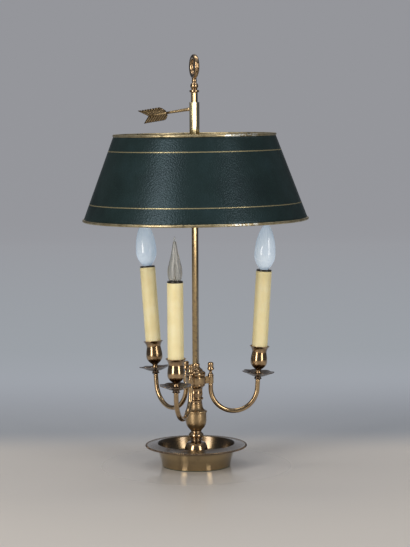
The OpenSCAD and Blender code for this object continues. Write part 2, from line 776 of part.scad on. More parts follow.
// One vane's outer edge from the blunt front to the tip, with its nicks
function vane_edge(depth) = let (length = vane_end - vane_start, pitch = (length - 15) / barbs) concat(
    [[2, 0.6], [vane_w * 0.55, 3.2], [vane_w * 0.8, 5.8], [vane_w * 0.95, 8.6]],
    [for (i = [0:barbs - 1], p = [[0, 0], [depth, barb_len], [0, barb_len]])
        [vane_w - p[0], 12 + i * pitch + p[1]]],
    [[vane_w, length]]
);
function mirrored(edge) = [for (i = [len(edge) - 1:-1:0]) [-edge[i][0], edge[i][1]]];

module arrow_key() {
    length = vane_end - vane_start;
    color(brass) on_key() rotate([0, 0, key_roll]) {
        // screw and tapered shaft
        translate([0, 0, -shoe_t + seat]) cylinder(h = shoe_t + 2, r = screw_r);
        translate([0, 0, key_gap])
            cylinder(h = vane_start + 4 - key_gap, r1 = shaft_root_r, r2 = shaft_end_r);
        // rib along the vanes
        translate([0, 0, vane_start]) cylinder(h = length - notch_depth + 1, r1 = shaft_end_r, r2 = 1.3);
        // vanes, notched behind
        translate([0, vane_t / 2, vane_start]) rotate([90, 0, 0]) linear_extrude(vane_t) polygon(concat(
            [[0, -1]], vane_edge(barb_depths[0]), [[0, length - notch_depth]],
            mirrored(vane_edge(barb_depths[1]))
        ));
    }
}

base_felt();
base_dish();
base_washer();
base_nut();
lamp_pipe();
cord_bush();
terminal_block();
baluster_foot();
baluster_urn();
baluster_column();
arm_hub();
hub_cap();
hub_leads();
stem();
top_knop();
ring_finial();
shade_sleeve();
shade_spider();
shade_cone();
shade_top_bead();
shade_bottom_bead();
clamp_shoe();
arrow_key();
bulb_filament_front();
for (k = [0:2]) {
    arm(k);
    lug_finial(k);
    drip_pan(k);
    candle_cup(k);
    socket_riser(k);
    lampholder(k);
    candle_tube(k);
    bulb_glass(k);
    bulb_cap(k);
    arm_lead(k);
}
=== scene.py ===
# %% [markdown]
# # A brass bouillotte lamp
# A bouillotte lamp lit a card table: three candles under one painted metal
# shade that slides on a square stem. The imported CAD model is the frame. Its
# hidden pieces only get a finish here, and the pieces that show are modelled
# again with rounder edges and finer detail, each in the place the CAD gives.

import json
import math

import bmesh
import bpy
from mathutils import Matrix, Vector


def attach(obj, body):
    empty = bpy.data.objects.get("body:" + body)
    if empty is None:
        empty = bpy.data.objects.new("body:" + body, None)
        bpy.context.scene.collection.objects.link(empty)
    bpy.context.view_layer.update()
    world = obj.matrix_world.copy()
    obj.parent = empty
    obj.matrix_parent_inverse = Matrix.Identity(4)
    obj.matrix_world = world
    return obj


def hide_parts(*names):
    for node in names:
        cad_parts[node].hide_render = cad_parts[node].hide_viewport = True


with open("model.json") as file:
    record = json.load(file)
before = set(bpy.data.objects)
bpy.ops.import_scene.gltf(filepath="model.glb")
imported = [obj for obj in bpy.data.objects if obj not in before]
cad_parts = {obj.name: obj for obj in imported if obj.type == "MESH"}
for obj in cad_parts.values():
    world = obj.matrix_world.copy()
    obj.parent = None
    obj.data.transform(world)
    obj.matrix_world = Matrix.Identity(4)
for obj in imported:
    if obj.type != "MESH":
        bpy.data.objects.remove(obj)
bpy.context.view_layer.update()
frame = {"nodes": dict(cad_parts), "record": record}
nodes = frame["nodes"]

# %% [markdown]
# ## Camera
# The lamp stands about three metres from the lens, so its verticals stay almost
# parallel. The lens looks down by five and a half degrees, with a hair of roll.

# %% Camera
def turned_by(degrees, axis):
    return Matrix.Rotation(math.radians(degrees), 4, axis)


SENSOR_H, IMAGE_H, FOCAL = 36.0, 547, 1800  # the sensor in mm, the other two in pixels
CAMERA_AT, LOOK_DOWN, ROLL = (0.0160, -2.949, 0.6026), 5.48, -0.28
camera_data = bpy.data.cameras.new("camera")
camera_data.sensor_fit = "VERTICAL"
camera_data.sensor_height = SENSOR_H
camera_data.lens = SENSOR_H * FOCAL / IMAGE_H
camera = bpy.data.objects.new("camera", camera_data)
camera.matrix_world = Matrix.Translation(CAMERA_AT) @ turned_by(90 - LOOK_DOWN, "X") @ turned_by(ROLL, "Z")
bpy.context.scene.collection.objects.link(camera)
bpy.context.scene.camera = camera
print("lens:", round(camera_data.lens, 1), "mm")

# %% [markdown]
# ## Helpers for finishes
# Colours are picked as the hex values a screen shows, and Blender computes with
# linear light, so one function converts them. A second one adds a shader node,
# sets its properties and fills its sockets with values or links. Two more start
# a finish and plug the last nodes into its shader. Every pattern reads Object
# coordinates, which are metres from the lamp's foot, so 1000 / 14 is a scale
# whose patches are about 14 mm across.

# %% Colour and node helpers
def colour(hex_value):
    channels = [int(hex_value[i:i + 2], 16) / 255 for i in (1, 3, 5)]
    return [c / 12.92 if c <= 0.04045 else ((c + 0.055) / 1.055) ** 2.4 for c in channels] + [1.0]


def add(tree, kind, sockets=None, stops=None, **settings):
    node = tree.nodes.new("ShaderNode" + kind)
    for key, value in settings.items():
        setattr(node, key, value)
    for name, value in (sockets or {}).items():
        if isinstance(value, bpy.types.NodeSocket):
            tree.links.new(value, node.inputs[name])
        else:
            node.inputs[name].default_value = value
    if stops:
        ramp = node.color_ramp
        while len(ramp.elements) < len(stops):
            ramp.elements.new(0.5)
        for element, (place, shade) in zip(ramp.elements, stops):
            element.position, element.color = place, shade
    return node


def grey(value):
    return [value, value, value, 1.0]


def new_finish(name, **values):
    """A new material, its node tree, its shader and the coordinates for its patterns."""
    finish = bpy.data.materials.new(name)
    finish.use_nodes = True
    tree = finish.node_tree
    shader = tree.nodes["Principled BSDF"]
    for socket, value in values.items():
        shader.inputs[socket.replace("_", " ")].default_value = value
    place = add(tree, "TexCoord").outputs["Object"]
    return finish, tree, shader, place


def dress(tree, shader, **links):
    for socket, output in links.items():
        tree.links.new(output, shader.inputs[socket.replace("_", " ")])


print("a screen's mid grey in linear light:", round(colour("#808080")[0], 3))

# %% [markdown]
# ## Brass
# Cast and turned brass is an alloy of copper and zinc. Polished, it mirrors the
# room in a warm yellow. Where hands and dusters don't reach it goes brown. So
# each brass is the same recipe: a metal whose colour drifts between clean and
# tarnished alloy in patches, darker in the grooves that the "recess" attribute
# marks, with roughness that follows the tarnish and a fine bump for tool marks.
# Tool marks are really 0.1 mm apart, and are drawn at 1 mm so that they show. A
# wave texture of scale 1 repeats every 2 pi / 20 of a metre, hence its scale. Over
# the metal lies clear lacquer, a thin coat whose own gleam is white, not yellow.

# %% Brass recipe
WAVE_REPEAT = 2 * math.pi / 20


def brass_finish(name, clean, worn, dark, patch_mm, rough, tool_mm=1.0, tool=0.25, direction="Z", grime=0.8,
                 lacquer=1.0):
    finish, tree, shader, place = new_finish(name, Metallic=1.0, Coat_Weight=lacquer, Coat_Roughness=0.16)
    patches = add(tree, "TexNoise", {"Vector": place, "Scale": 1000 / patch_mm, "Detail": 5.0,
                                     "Roughness": 0.6})
    drift = add(tree, "ValToRGB", {"Fac": patches.outputs["Fac"]},
                [(0.32, colour(worn)), (0.52, colour(clean)), (0.75, colour(clean))])
    specks = add(tree, "TexNoise", {"Vector": place, "Scale": 1000 / 1.6, "Detail": 3.0, "Roughness": 0.7})
    pits = add(tree, "ValToRGB", {"Fac": specks.outputs["Fac"]}, [(0.62, grey(0)), (0.72, grey(0.45))])
    spotted = add(tree, "Mix", {"Factor": pits.outputs["Color"], "A": drift.outputs["Color"],
                                "B": colour(dark)}, data_type="RGBA")
    groove = add(tree, "Attribute", attribute_name="recess")
    soil = add(tree, "Math", {0: groove.outputs["Fac"], 1: grime}, operation="MULTIPLY", use_clamp=True)
    aged = add(tree, "Mix", {"Factor": soil.outputs[0], "A": spotted.outputs[2], "B": colour(dark)},
               data_type="RGBA")
    dull = add(tree, "MapRange", {"Value": patches.outputs["Fac"], "From Min": 0.35, "From Max": 0.7,
                                  "To Min": rough[1], "To Max": rough[0]})
    duller = add(tree, "Math", {0: soil.outputs[0], 1: 0.25, 2: dull.outputs[0]}, operation="MULTIPLY_ADD")
    marks = add(tree, "TexWave", {"Vector": place, "Scale": WAVE_REPEAT / (tool_mm / 1000), "Distortion": 1.5,
                                  "Detail": 2.0, "Detail Scale": 3.0}, bands_direction=direction)
    relief = add(tree, "Math", {0: marks.outputs["Fac"], 1: tool, 2: specks.outputs["Fac"]},
                 operation="MULTIPLY_ADD")
    bump = add(tree, "Bump", {"Height": relief.outputs[0], "Strength": 0.05, "Distance": 0.0003})
    dress(tree, shader, Base_Color=aged.outputs[2], Roughness=duller.outputs[0],
          Normal=bump.outputs["Normal"])
    return finish


# %% The lamp's eight brasses
# turned on a lathe and aged: bright bars on the high spots, brown in the grooves
aged_brass = brass_finish("turned brass, aged", "#b3966f", "#8f7350", "#33271c", 14, (0.13, 0.2), grime=0.5)
# the urn, rubbed dull by hands: a broad soft gleam instead of a sharp one
rubbed_brass = brass_finish("turned brass, rubbed dull", "#b09873", "#937a58", "#3a2c20", 12, (0.32, 0.44),
                            grime=0.5, lacquer=0.3)
# spun dish, polished inside and out under old lacquer: the clearest mirror on the lamp
dish_brass = brass_finish("spun brass dish, lacquered", "#b09a72", "#978260", "#4a3a2a", 30, (0.06, 0.1),
                          tool=0.1)
# pressed sheet, never polished underneath: dark and brown
pan_brass = brass_finish("pressed brass pan, dull", "#6e5c4b", "#4d4137", "#241d18", 9, (0.14, 0.26),
                         grime=0.3, lacquer=0.5)
# drawn tube, bent and buffed along its length: smooth, and the yellowest brass on the lamp
arm_brass = brass_finish("drawn brass tube, buffed", "#b59a70", "#937857", "#352719", 18, (0.1, 0.18),
                         tool=0.1, grime=0.5)
# cast key: brown, with bare metal only on its ridges
key_brass = brass_finish("cast brass key, brown", "#ab9672", "#85704f", "#2c2219", 7, (0.2, 0.34),
                         tool=0.1, grime=0.85, lacquer=0.4)
# drawn square tube: pale and bright, with the lengthwise lines of the drawing die
sleeve_brass = brass_finish("drawn brass tube, pale", "#cfc39d", "#bbae86", "#7a6a48", 24, (0.14, 0.22),
                            tool_mm=1.4, direction="X", tool=0.3)
# the drawn bar it slides on: the same lines, browned, and painted darker than the sleeve as painted shade
# from the shade above it
shaded_stem_brass = brass_finish("drawn brass bar, browned", "#a08a60", "#75624a", "#3d3122", 5, (0.12, 0.24),
                          tool_mm=1.4, direction="X", tool=0.3)
brasses = (aged_brass, rubbed_brass, dish_brass, pan_brass, arm_brass, key_brass, sleeve_brass, shaded_stem_brass)
print("brasses:", len(brasses))

# %% [markdown]
# ## Gilt rim
# The rolled rims of the shade were painted with gold size and leaf. Years of
# handling left the gilding thin, with bare, greyish and chipped places. It is
# less of a mirror than brass, so its roughness is higher.

# %% Gilt
GRIP_X, GRIP_Y, GRIP_EDGE = 0.072, -0.05, (0.03, 0.022)  # metres: where hands grip the rim


def gilt_finish():
    """Warm metal in worn patches, with small flakes gone to the pale ground."""
    finish, tree, shader, place = new_finish("gilding on a rolled rim, worn", Metallic=0.85)
    rub = add(tree, "TexNoise", {"Vector": place, "Scale": 1000 / 22, "Detail": 6.0, "Roughness": 0.65})
    tone = add(tree, "ValToRGB", {"Fac": rub.outputs["Fac"]},
               [(0.3, colour("#6a614a")), (0.45, colour("#a99c7a")), (0.7, colour("#cdc2a2"))])
    flakes = add(tree, "TexNoise", {"Vector": place, "Scale": 1000 / 5, "Detail": 4.0, "Roughness": 0.6})
    bare = add(tree, "ValToRGB", {"Fac": flakes.outputs["Fac"]}, [(0.64, grey(0)), (0.67, grey(1))])
    both = add(tree, "Mix", {"Factor": bare.outputs["Color"], "A": tone.outputs["Color"],
                             "B": colour("#4b4a40")}, data_type="RGBA")
    # the gilding is gone to the pale ground on the front right, where the shade is gripped
    across = add(tree, "SeparateXYZ", {"Vector": place})
    off = add(tree, "Math", {0: across.outputs["X"], 1: GRIP_X}, operation="SUBTRACT")
    apart = add(tree, "Math", {0: off.outputs[0]}, operation="ABSOLUTE")
    grip = add(tree, "MapRange", {"Value": apart.outputs[0], "From Min": GRIP_EDGE[0],
                                  "From Max": GRIP_EDGE[1]})
    front = add(tree, "Math", {0: across.outputs["Y"], 1: GRIP_Y}, operation="LESS_THAN")
    chance = add(tree, "ValToRGB", {"Fac": flakes.outputs["Fac"]}, [(0.47, grey(0)), (0.5, grey(1))])
    gripped = add(tree, "Math", {0: grip.outputs[0], 1: front.outputs[0]}, operation="MULTIPLY")
    gone = add(tree, "Math", {0: gripped.outputs[0], 1: chance.outputs["Color"]}, operation="MULTIPLY")
    both = add(tree, "Mix", {"Factor": gone.outputs[0], "A": both.outputs[2], "B": colour("#dfe2dc")},
               data_type="RGBA")
    bump = add(tree, "Bump", {"Height": flakes.outputs["Fac"], "Strength": 0.25, "Distance": 0.0003})
    rough = add(tree, "MapRange", {"Value": rub.outputs["Fac"], "To Min": 0.42, "To Max": 0.24})
    dress(tree, shader, Base_Color=both.outputs[2], Roughness=rough.outputs[0], Normal=bump.outputs["Normal"])
    return finish


# a soft gold line along each rim, broken where it is worn
gilt = gilt_finish()
print("gilding:", gilt.name)

# %% [markdown]
# ## Painted tole
# Tole is painted sheet iron. The paint here is a dark bottle green, nearly
# black, laid thick and stippled, so that it dries in soft pebbles two or three
# millimetres across, and varnished. Two thin gold lines run round the cone, and
# the paint is chipped to pale ground along the rims. The mesh carries how far
# each point is below the top rim, so the lines stay level with the shade when it
# tilts.

# %% Tole
SHADE_TOP, SHADE_H, WIRE = 549.7, 142.3, 2.3  # mm
GOLD_LINES, LINE_HALF = (27.2, 113.2), (0.75, 0.7)  # mm below the top rim, and half a line's width
CHIP_ZONE = (9, 1)  # mm from the rim, where chips start and where they are most


def tole_finish():
    finish, tree, shader, place = new_finish("stippled green paint on sheet iron", IOR=1.5,
                                             Specular_Tint=colour("#b4d2ea"))
    down = add(tree, "Attribute", attribute_name="below_top").outputs["Fac"]
    clouds = add(tree, "TexNoise", {"Vector": place, "Scale": 1000 / 60, "Detail": 5.0, "Roughness": 0.6})
    paint = add(tree, "ValToRGB", {"Fac": clouds.outputs["Fac"]},
                [(0.3, colour("#15201f")), (0.5, colour("#1b2928")), (0.72, colour("#223234"))])
    pebbles = add(tree, "TexVoronoi", {"Vector": place, "Scale": 1000 / 2.4, "Smoothness": 0.6},
                  feature="SMOOTH_F1")
    grain = add(tree, "TexNoise", {"Vector": place, "Scale": 1000 / 2.2, "Detail": 3.0, "Roughness": 0.55})
    bands = []
    for height, half in zip(GOLD_LINES, LINE_HALF):
        away = add(tree, "Math", {0: down, 1: height}, operation="SUBTRACT").outputs[0]
        far = add(tree, "Math", {0: away}, operation="ABSOLUTE").outputs[0]
        bands.append(add(tree, "Math", {0: far, 1: half}, operation="LESS_THAN").outputs[0])
    lines = add(tree, "Math", {0: bands[0], 1: bands[1]}, operation="MAXIMUM").outputs[0]
    worn = add(tree, "ValToRGB", {"Fac": grain.outputs["Fac"]}, [(0.66, grey(1)), (0.74, grey(0.35))])
    gold = add(tree, "Math", {0: lines, 1: worn.outputs["Color"]}, operation="MULTIPLY").outputs[0]
    lined = add(tree, "Mix", {"Factor": gold, "A": paint.outputs["Color"], "B": colour("#a39a78")},
                data_type="RGBA")
    # chips: where a coarse noise runs high within a few millimetres of a rim
    halfway = SHADE_H / 2
    from_middle = add(tree, "Math", {0: down, 1: halfway}, operation="SUBTRACT").outputs[0]
    to_rim = add(tree, "Math", {0: from_middle}, operation="ABSOLUTE").outputs[0]
    rim = add(tree, "MapRange", {"Value": to_rim, "From Min": halfway - CHIP_ZONE[0],
                                 "From Max": halfway - CHIP_ZONE[1], "To Max": 0.3}).outputs[0]
    flake = add(tree, "TexNoise", {"Vector": place, "Scale": 1000 / 13, "Detail": 4.0, "Roughness": 0.55})
    lifted = add(tree, "Math", {0: flake.outputs["Fac"], 1: rim}, operation="ADD").outputs[0]
    chip = add(tree, "ValToRGB", {"Fac": lifted}, [(0.895, grey(0)), (0.91, grey(1))])
    chipped = add(tree, "Mix", {"Factor": chip.outputs["Color"], "A": lined.outputs[2],
                                "B": colour("#a9aca0")}, data_type="RGBA")
    rough = add(tree, "MapRange", {"Value": grain.outputs["Fac"], "To Min": 0.26, "To Max": 0.44})
    relief = add(tree, "Math", {0: grain.outputs["Fac"], 1: 0.5, 2: pebbles.outputs["Distance"]},
                 operation="MULTIPLY_ADD")
    bump = add(tree, "Bump", {"Height": relief.outputs[0], "Strength": 0.3, "Distance": 0.0009})
    metal = add(tree, "Math", {0: gold, 1: 0.6}, operation="MULTIPLY").outputs[0]
    dress(tree, shader, Base_Color=chipped.outputs[2], Roughness=rough.outputs[0], Metallic=metal,
          Normal=bump.outputs["Normal"])
    return finish


# nearly black, with a cool gleam that breaks up on the pebbles
tole = tole_finish()
print("tole: gold lines", GOLD_LINES, "mm below the rim")

# %% [markdown]
# ## Lining
# The inside of the shade is brushed with gold bronze, powdered metal in varnish,
# to throw warm light down on the table. It streaks a little where the brush went,
# and being powder it is less of a mirror than brass.

# %% Lining
def lining_finish():
    finish, tree, shader, place = new_finish("gold bronze paint inside the shade", Metallic=0.55,
                                             Roughness=0.42)
    brushed = add(tree, "TexNoise", {"Vector": place, "Scale": 1000 / 35, "Detail": 5.0, "Roughness": 0.6})
    tone = add(tree, "ValToRGB", {"Fac": brushed.outputs["Fac"]},
               [(0.35, colour("#7d6c3e")), (0.65, colour("#a08c55"))])
    bump = add(tree, "Bump", {"Height": brushed.outputs["Fac"], "Strength": 0.2, "Distance": 0.0006})
    dress(tree, shader, Base_Color=tone.outputs["Color"], Normal=bump.outputs["Normal"])
    return finish


# warm, streaky, half-dull gold
lining = lining_finish()
print("lining:", lining.name)

# %% [markdown]
# ## Candle card
# The candles are rolled card dipped in cream paint, satin and a little uneven.
# Light sinks a short way into the paint and comes out again, which subsurface
# scattering does: it softens the edge between the lit side and the dark one.

# %% Candle card
def card_finish():
    finish, tree, shader, place = new_finish("cream paint on rolled card", IOR=1.48, Subsurface_Weight=0.12,
                                             Subsurface_Scale=0.004)
    shader.inputs["Subsurface Radius"].default_value = (1.0, 0.7, 0.4)
    tint = add(tree, "TexNoise", {"Vector": place, "Scale": 1000 / 28, "Detail": 4.0, "Roughness": 0.6})
    cream = add(tree, "ValToRGB", {"Fac": tint.outputs["Fac"]},
                [(0.3, colour("#f1e2ab")), (0.5, colour("#f6e9b7")), (0.75, colour("#f9f0c6"))])
    grain = add(tree, "TexNoise", {"Vector": place, "Scale": 1000 / 1.8, "Detail": 3.0})
    bump = add(tree, "Bump", {"Height": grain.outputs["Fac"], "Strength": 0.1, "Distance": 0.0003})
    rough = add(tree, "MapRange", {"Value": tint.outputs["Fac"], "To Min": 0.5, "To Max": 0.36})
    dress(tree, shader, Base_Color=cream.outputs["Color"], Roughness=rough.outputs[0],
          Normal=bump.outputs["Normal"])
    return finish


# satin cream with soft shadows, never a hard gleam
candle_card = card_finish()
print("card:", candle_card.name)

# %% [markdown]
# ## Glass, phenolic and the hidden materials
# The other finishes need less: one noise shifts tone, gloss and bump together.
# Opal glass is milky all through, so light that sinks in comes out everywhere. A
# faint glow of its own stands in for that light, and renders faster. The front
# bulb is clear glass with a slight haze. Steel, felt, wire, nylon and rubber are
# for pieces inside or under the lamp, which show only when it is taken apart.

# %% Glass, phenolic and the hidden materials
def plain_finish(name, low, high, grain_mm, rough, bump_strength=0.1, **values):
    finish, tree, shader, place = new_finish(name, **values)
    grain = add(tree, "TexNoise", {"Vector": place, "Scale": 1000 / grain_mm, "Detail": 4.0,
                                   "Roughness": 0.6})
    tone = add(tree, "ValToRGB", {"Fac": grain.outputs["Fac"]}, [(0.35, colour(low)), (0.65, colour(high))])
    dull = add(tree, "MapRange", {"Value": grain.outputs["Fac"], "To Min": rough[0], "To Max": rough[1]})
    bump = add(tree, "Bump", {"Height": grain.outputs["Fac"], "Strength": bump_strength, "Distance": 0.0004})
    dress(tree, shader, Base_Color=tone.outputs["Color"], Roughness=dull.outputs[0],
          Normal=bump.outputs["Normal"])
    return finish


# milky and smooth: a cool white with small sharp gleams
opal_glass = plain_finish("opal glass, blown", "#c9d6e4", "#dae4ee", 40, (0.07, 0.12), 0.02, IOR=1.52,
                          Emission_Color=colour("#a9cbea"), Emission_Strength=0.26)
# almost nothing: the rims and gleams show, and the wires behind them
clear_glass = plain_finish("clear glass, blown, hazed by age", "#e6e6e2", "#f4f4f0", 50, (0.14, 0.22),
                           0.02, IOR=1.35, Transmission_Weight=0.88)
# black, with a broad soft gleam
phenolic = plain_finish("black phenolic, moulded", "#141211", "#221e1b", 12, (0.25, 0.4))
# cold grey, with glints on threads and edges
steel = plain_finish("zinc-plated steel", "#9b9d9b", "#c0c2bd", 8, (0.25, 0.4), Metallic=1.0)
# no gleam at all, and a paler fuzz towards its edge
felt = plain_finish("green wool felt", "#26301f", "#3a4632", 1.5, (0.9, 1.0), 0.8, Sheen_Weight=0.5)
# pale and dull, with no gleam to speak of
flex = plain_finish("rubber-covered wire", "#b9b19b", "#cfc8b4", 6, (0.45, 0.6))
# off-white, slightly waxy
block = plain_finish("moulded nylon", "#d3cfbf", "#e2dfd2", 10, (0.35, 0.5))
# dark, dull and a little grainy
bush = plain_finish("moulded rubber bush", "#1d1916", "#2c2622", 6, (0.5, 0.7))
# thin grey threads with a dim glint
filament = plain_finish("lead wires and pressed glass stem", "#8f8d86", "#b5b3ab", 5, (0.25, 0.4),
                        Metallic=0.6)
plain = (opal_glass, clear_glass, phenolic, steel, felt, flex, block, bush, filament)
print("plain finishes:", len(plain))

# %% [markdown]
# ## The frame's own pieces
# What is hidden keeps the mesh that came from the CAD, and only gets a finish.
# The record names one material slot for each piece, so one table is enough.

# %% Give the CAD nodes their finishes
BY_SLOT = {
    "aged_brass": aged_brass, "dish_brass": dish_brass, "pan_brass": pan_brass, "arm_brass": arm_brass,
    "polished_brass": shaded_stem_brass, "gilt": gilt, "painted_tole": tole, "steel": steel, "felt": felt,
    "candle_card": candle_card, "holder": phenolic, "opal_glass": opal_glass, "clear_glass": clear_glass,
    "filament": filament, "wire": flex, "terminal": block, "bush": bush,
}
for entry in frame["record"]["subparts"]:
    for slot in nodes[entry["node"]].material_slots:
        slot.material = BY_SLOT[entry["material_slot"]]
print("finishes:", len(BY_SLOT))

# %% [markdown]
# ## Turning
# Most of the lamp came off a lathe, so most pieces start as half of their
# section, spun a full turn about their axis. An outline is a closed loop of
# (radius, height) points in millimetres, the bore's side included. A third
# number marks a crisp corner, and becomes a crease that the subdivision keeps.
# Each vertex also stores how deep it sits in a groove, for the tarnish. Spinning
# gives even rings of faces, which a lathe's grooves and a smooth gleam both need.

# %% Turning helpers
MM = Matrix.Scale(0.001, 4)
CLOSE = 0.01  # mm, two places nearer than this are one
# mm: how far up and down a point looks for a ridge, how far behind it soil starts, and how soon it is full
GROOVE_REACH, RIDGE, DEEP = 5, 0.6, 4


def groove_depth(outline, r, z):
    """0 on a ridge, up to 1 where the point (r, z) lies deep between its neighbours."""
    near = [p[0] for p in outline if abs(p[1] - z) < GROOVE_REACH and p[0] > 0.1]
    return min(1.0, max(0.0, (max(near) - r - RIDGE) / DEEP)) if near else 0.0


def spin_round(bm, geometry, steps):
    bmesh.ops.spin(bm, geom=geometry, cent=(0, 0, 0), axis=(0, 0, 1), angle=2 * math.pi, steps=steps,
                   use_merge=True)


def turn(bm, outline, steps=48):
    """Spins a closed outline about the Z axis and returns the new vertices."""
    crease = bm.edges.layers.float.get("crease_edge") or bm.edges.layers.float.new("crease_edge")
    recess = bm.verts.layers.float.get("recess") or bm.verts.layers.float.new("recess")
    known = set(bm.verts)
    start = [bm.verts.new((p[0], 0, p[1])) for p in outline]
    edges = [bm.edges.new((a, b)) for a, b in zip(start, start[1:] + start[:1])]
    spin_round(bm, start + edges, steps)
    verts = [v for v in bm.verts if v not in known]
    bmesh.ops.remove_doubles(bm, verts=verts, dist=0.0005)
    verts = [v for v in bm.verts if v not in known]
    crisp = {(round(p[0], 2), round(p[1], 2)): p[2] for p in outline if len(p) > 2}
    for v in verts:
        r = math.hypot(v.co.x, v.co.y)
        v[recess] = groove_depth(outline, r, v.co.z)
        amount = crisp.get((round(r, 2), round(v.co.z, 2)))
        if amount:
            for e in v.link_edges:
                other = e.other_vert(v).co
                if abs(math.hypot(other.x, other.y) - r) < CLOSE and abs(other.z - v.co.z) < CLOSE:
                    e[crease] = amount
    return verts


def make_piece(name, bm, body, finishes, levels=2):
    """Makes the finished object. NAME_look takes the place of the CAD node NAME."""
    bmesh.ops.transform(bm, matrix=MM, verts=bm.verts)
    bmesh.ops.recalc_face_normals(bm, faces=bm.faces)
    mesh = bpy.data.meshes.new(name)
    bm.to_mesh(mesh)
    bm.free()
    for finish in finishes:
        mesh.materials.append(finish)
    mesh.shade_smooth()
    piece = bpy.data.objects.new(name, mesh)
    bpy.context.scene.collection.objects.link(piece)
    if levels:
        smooth = piece.modifiers.new("smooth", "SUBSURF")
        smooth.levels = smooth.render_levels = levels
    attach(piece, body)
    if name.endswith("_look"):
        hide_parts(name.removesuffix("_look"))
    print(f"{name}: {len(mesh.polygons)} faces on {body}")


def turned_piece(name, outline, body, finish, at=Matrix.Identity(4), steps=48):
    """A piece that is all one turning, moved from the Z axis to its place."""
    bm = bmesh.new()
    turn(bm, outline, steps)
    bmesh.ops.transform(bm, matrix=at, verts=bm.verts)
    make_piece(name, bm, body, [finish])


# %% [markdown]
# ## Dish
# The base is a spun brass dish with a wide brim. Its edge carries a row of
# small gadroons, pressed beads that catch the light one by one. The wall and
# brim are one turned section. The gadroons are 150 squashed balls, 3.4 mm apart,
# each with few faces because there are so many. The wall draws in under the
# brim, so it mirrors the table, and the brim falls a little towards its edge.

# %% Dish
GADROONS, GADROON_R, GADROON_Z = 150, 82.2, 33.7
GADROON = Matrix.Diagonal((2.1, 1.62, 1.75, 1))  # half its size outwards, along the edge and up
DISH = [
    (53.8, 1.2, 1), (57, 1.2, 1), (57.3, 4), (57.9, 7), (58.9, 11.5), (60, 15), (61.4, 19.5), (63.2, 25),
    (64.8, 30), (66.6, 33.4), (69.5, 34.3), (74, 33.6), (79, 32.7), (81.8, 32.5, 0.7), (82.6, 33.2),
    (82.6, 34.4), (81.8, 35, 0.7), (80.4, 35), (79.8, 34.5), (78.6, 34.6), (74, 35.4), (69.5, 36.3),
    (67, 36.9), (65.2, 37.5), (64, 37.4), (62.9, 36), (61.8, 31.5), (60.6, 27), (59.2, 22), (57.7, 17.6),
    (56, 14.8), (53.4, 13.3), (49, 13), (30, 13), (5, 13, 1), (5, 10.8, 1), (53.8, 10.8, 1),
]
bm = bmesh.new()
turn(bm, DISH, 128)
make_piece("base_dish_look", bm, "root", [dish_brass])

bm = bmesh.new()
for i in range(GADROONS):
    angle = 2 * math.pi * i / GADROONS
    bead = Matrix.Rotation(angle, 4, "Z") @ Matrix.Translation((GADROON_R, 0, GADROON_Z)) @ GADROON
    bmesh.ops.create_icosphere(bm, subdivisions=2, radius=1.0, matrix=bead)
make_piece("dish_gadroons", bm, "root", [pan_brass], levels=0)

# %% [markdown]
# ## Baluster
# Three turned pieces are stacked on the pipe: a bell foot with two knops, an urn
# with a ledge, and a column that flares out under the hub. Each is one outline.
# Where a bead meets a neck the crease is partial, which gives a clear, soft line.

# %% Baluster
BORE = 4.95
FOOT = [
    (BORE, 13, 1), (24.6, 13, 1), (24.6, 14.2), (23.8, 15.2), (22.5, 16.8), (21.2, 20), (20.2, 24),
    (19.1, 28.6), (18.2, 32.2), (17.1, 35.4), (15.4, 37.9), (12.8, 39.3), (10, 39.9), (8.5, 40.3, 0.6),
    (8.3, 41), (9.2, 41.5, 0.5), (10.2, 42.4), (10.3, 43.1), (10.2, 43.8), (9.2, 44.8, 0.5), (8.5, 45.3),
    (8.7, 46), (10.3, 46.9, 0.5), (12, 48.2), (12.8, 50), (12.7, 51.4), (11.7, 53.3), (9.9, 54.9),
    (8.9, 56), (8.8, 58, 1), (BORE, 58, 1),
]
URN = [
    (BORE, 58, 1), (8.8, 58, 1), (9.6, 59.4), (11.4, 61.4), (13.6, 63.8), (15.5, 67), (16.8, 70.8),
    (17.35, 76), (17.35, 82), (17, 87.6), (17, 88.5, 0.6), (17.9, 88.7, 0.6), (18.25, 89.3), (18.25, 90.9),
    (17.7, 91.6, 0.6), (15.6, 92, 0.4), (13.4, 93.6), (11.9, 96), (11, 99.6), (10.6, 104, 1),
    (BORE, 104, 1),
]
COLUMN = [
    (BORE, 104, 1), (10.6, 104, 1), (10.3, 106.4), (10.4, 109.6, 0.6), (11.4, 110.4, 0.4), (12.3, 111.3),
    (12.4, 112.2), (12.3, 113.1), (11.4, 114, 0.4), (10.7, 114.5, 0.6), (11, 117), (11.4, 120),
    (11.1, 123), (10.7, 126), (11.1, 129), (12.7, 131.4), (14.6, 133), (15.3, 134.2, 0.5),
    (15.3, 136.3, 1), (BORE, 136.3, 1),
]
turned_piece("baluster_foot_look", FOOT, "root", aged_brass)
turned_piece("baluster_urn_look", URN, "root", rubbed_brass)
turned_piece("baluster_column_look", COLUMN, "root", aged_brass)

# %% [markdown]
# ## Hub
# The hub is a drum with three lugs on short webs. The arms hang in the lugs. Drum
# and lugs are turned with the same softened edges, each lug is moved out to its
# place, and a bevelled block joins it to the drum. The cap above is a dome with a
# bead, and takes the foot of the stem.

# %% Hub
ARMS = ("right", "left", "front")
TURNS = (10.5, 130.5, 250.5)
HUB_Z, HUB_TOP, LUG_D = 136.3, 149.3, 25.0
DRUM_R, LUG_R, LUG_BORE = 17, 4.9, 3.05
WEB_X, WEB = 18, (8, 6.6, 12.4)


def drum(bore, r, rise):
    """The outline of a bored drum as high as the hub, with softened edges."""
    low, high = HUB_Z, HUB_TOP
    return [(bore, low, 1), (r - 0.6, low), (r, low + rise), (r, low + rise + 1), (r, high - rise - 1),
            (r, high - rise), (r - 0.6, high), (bore, high, 1)]


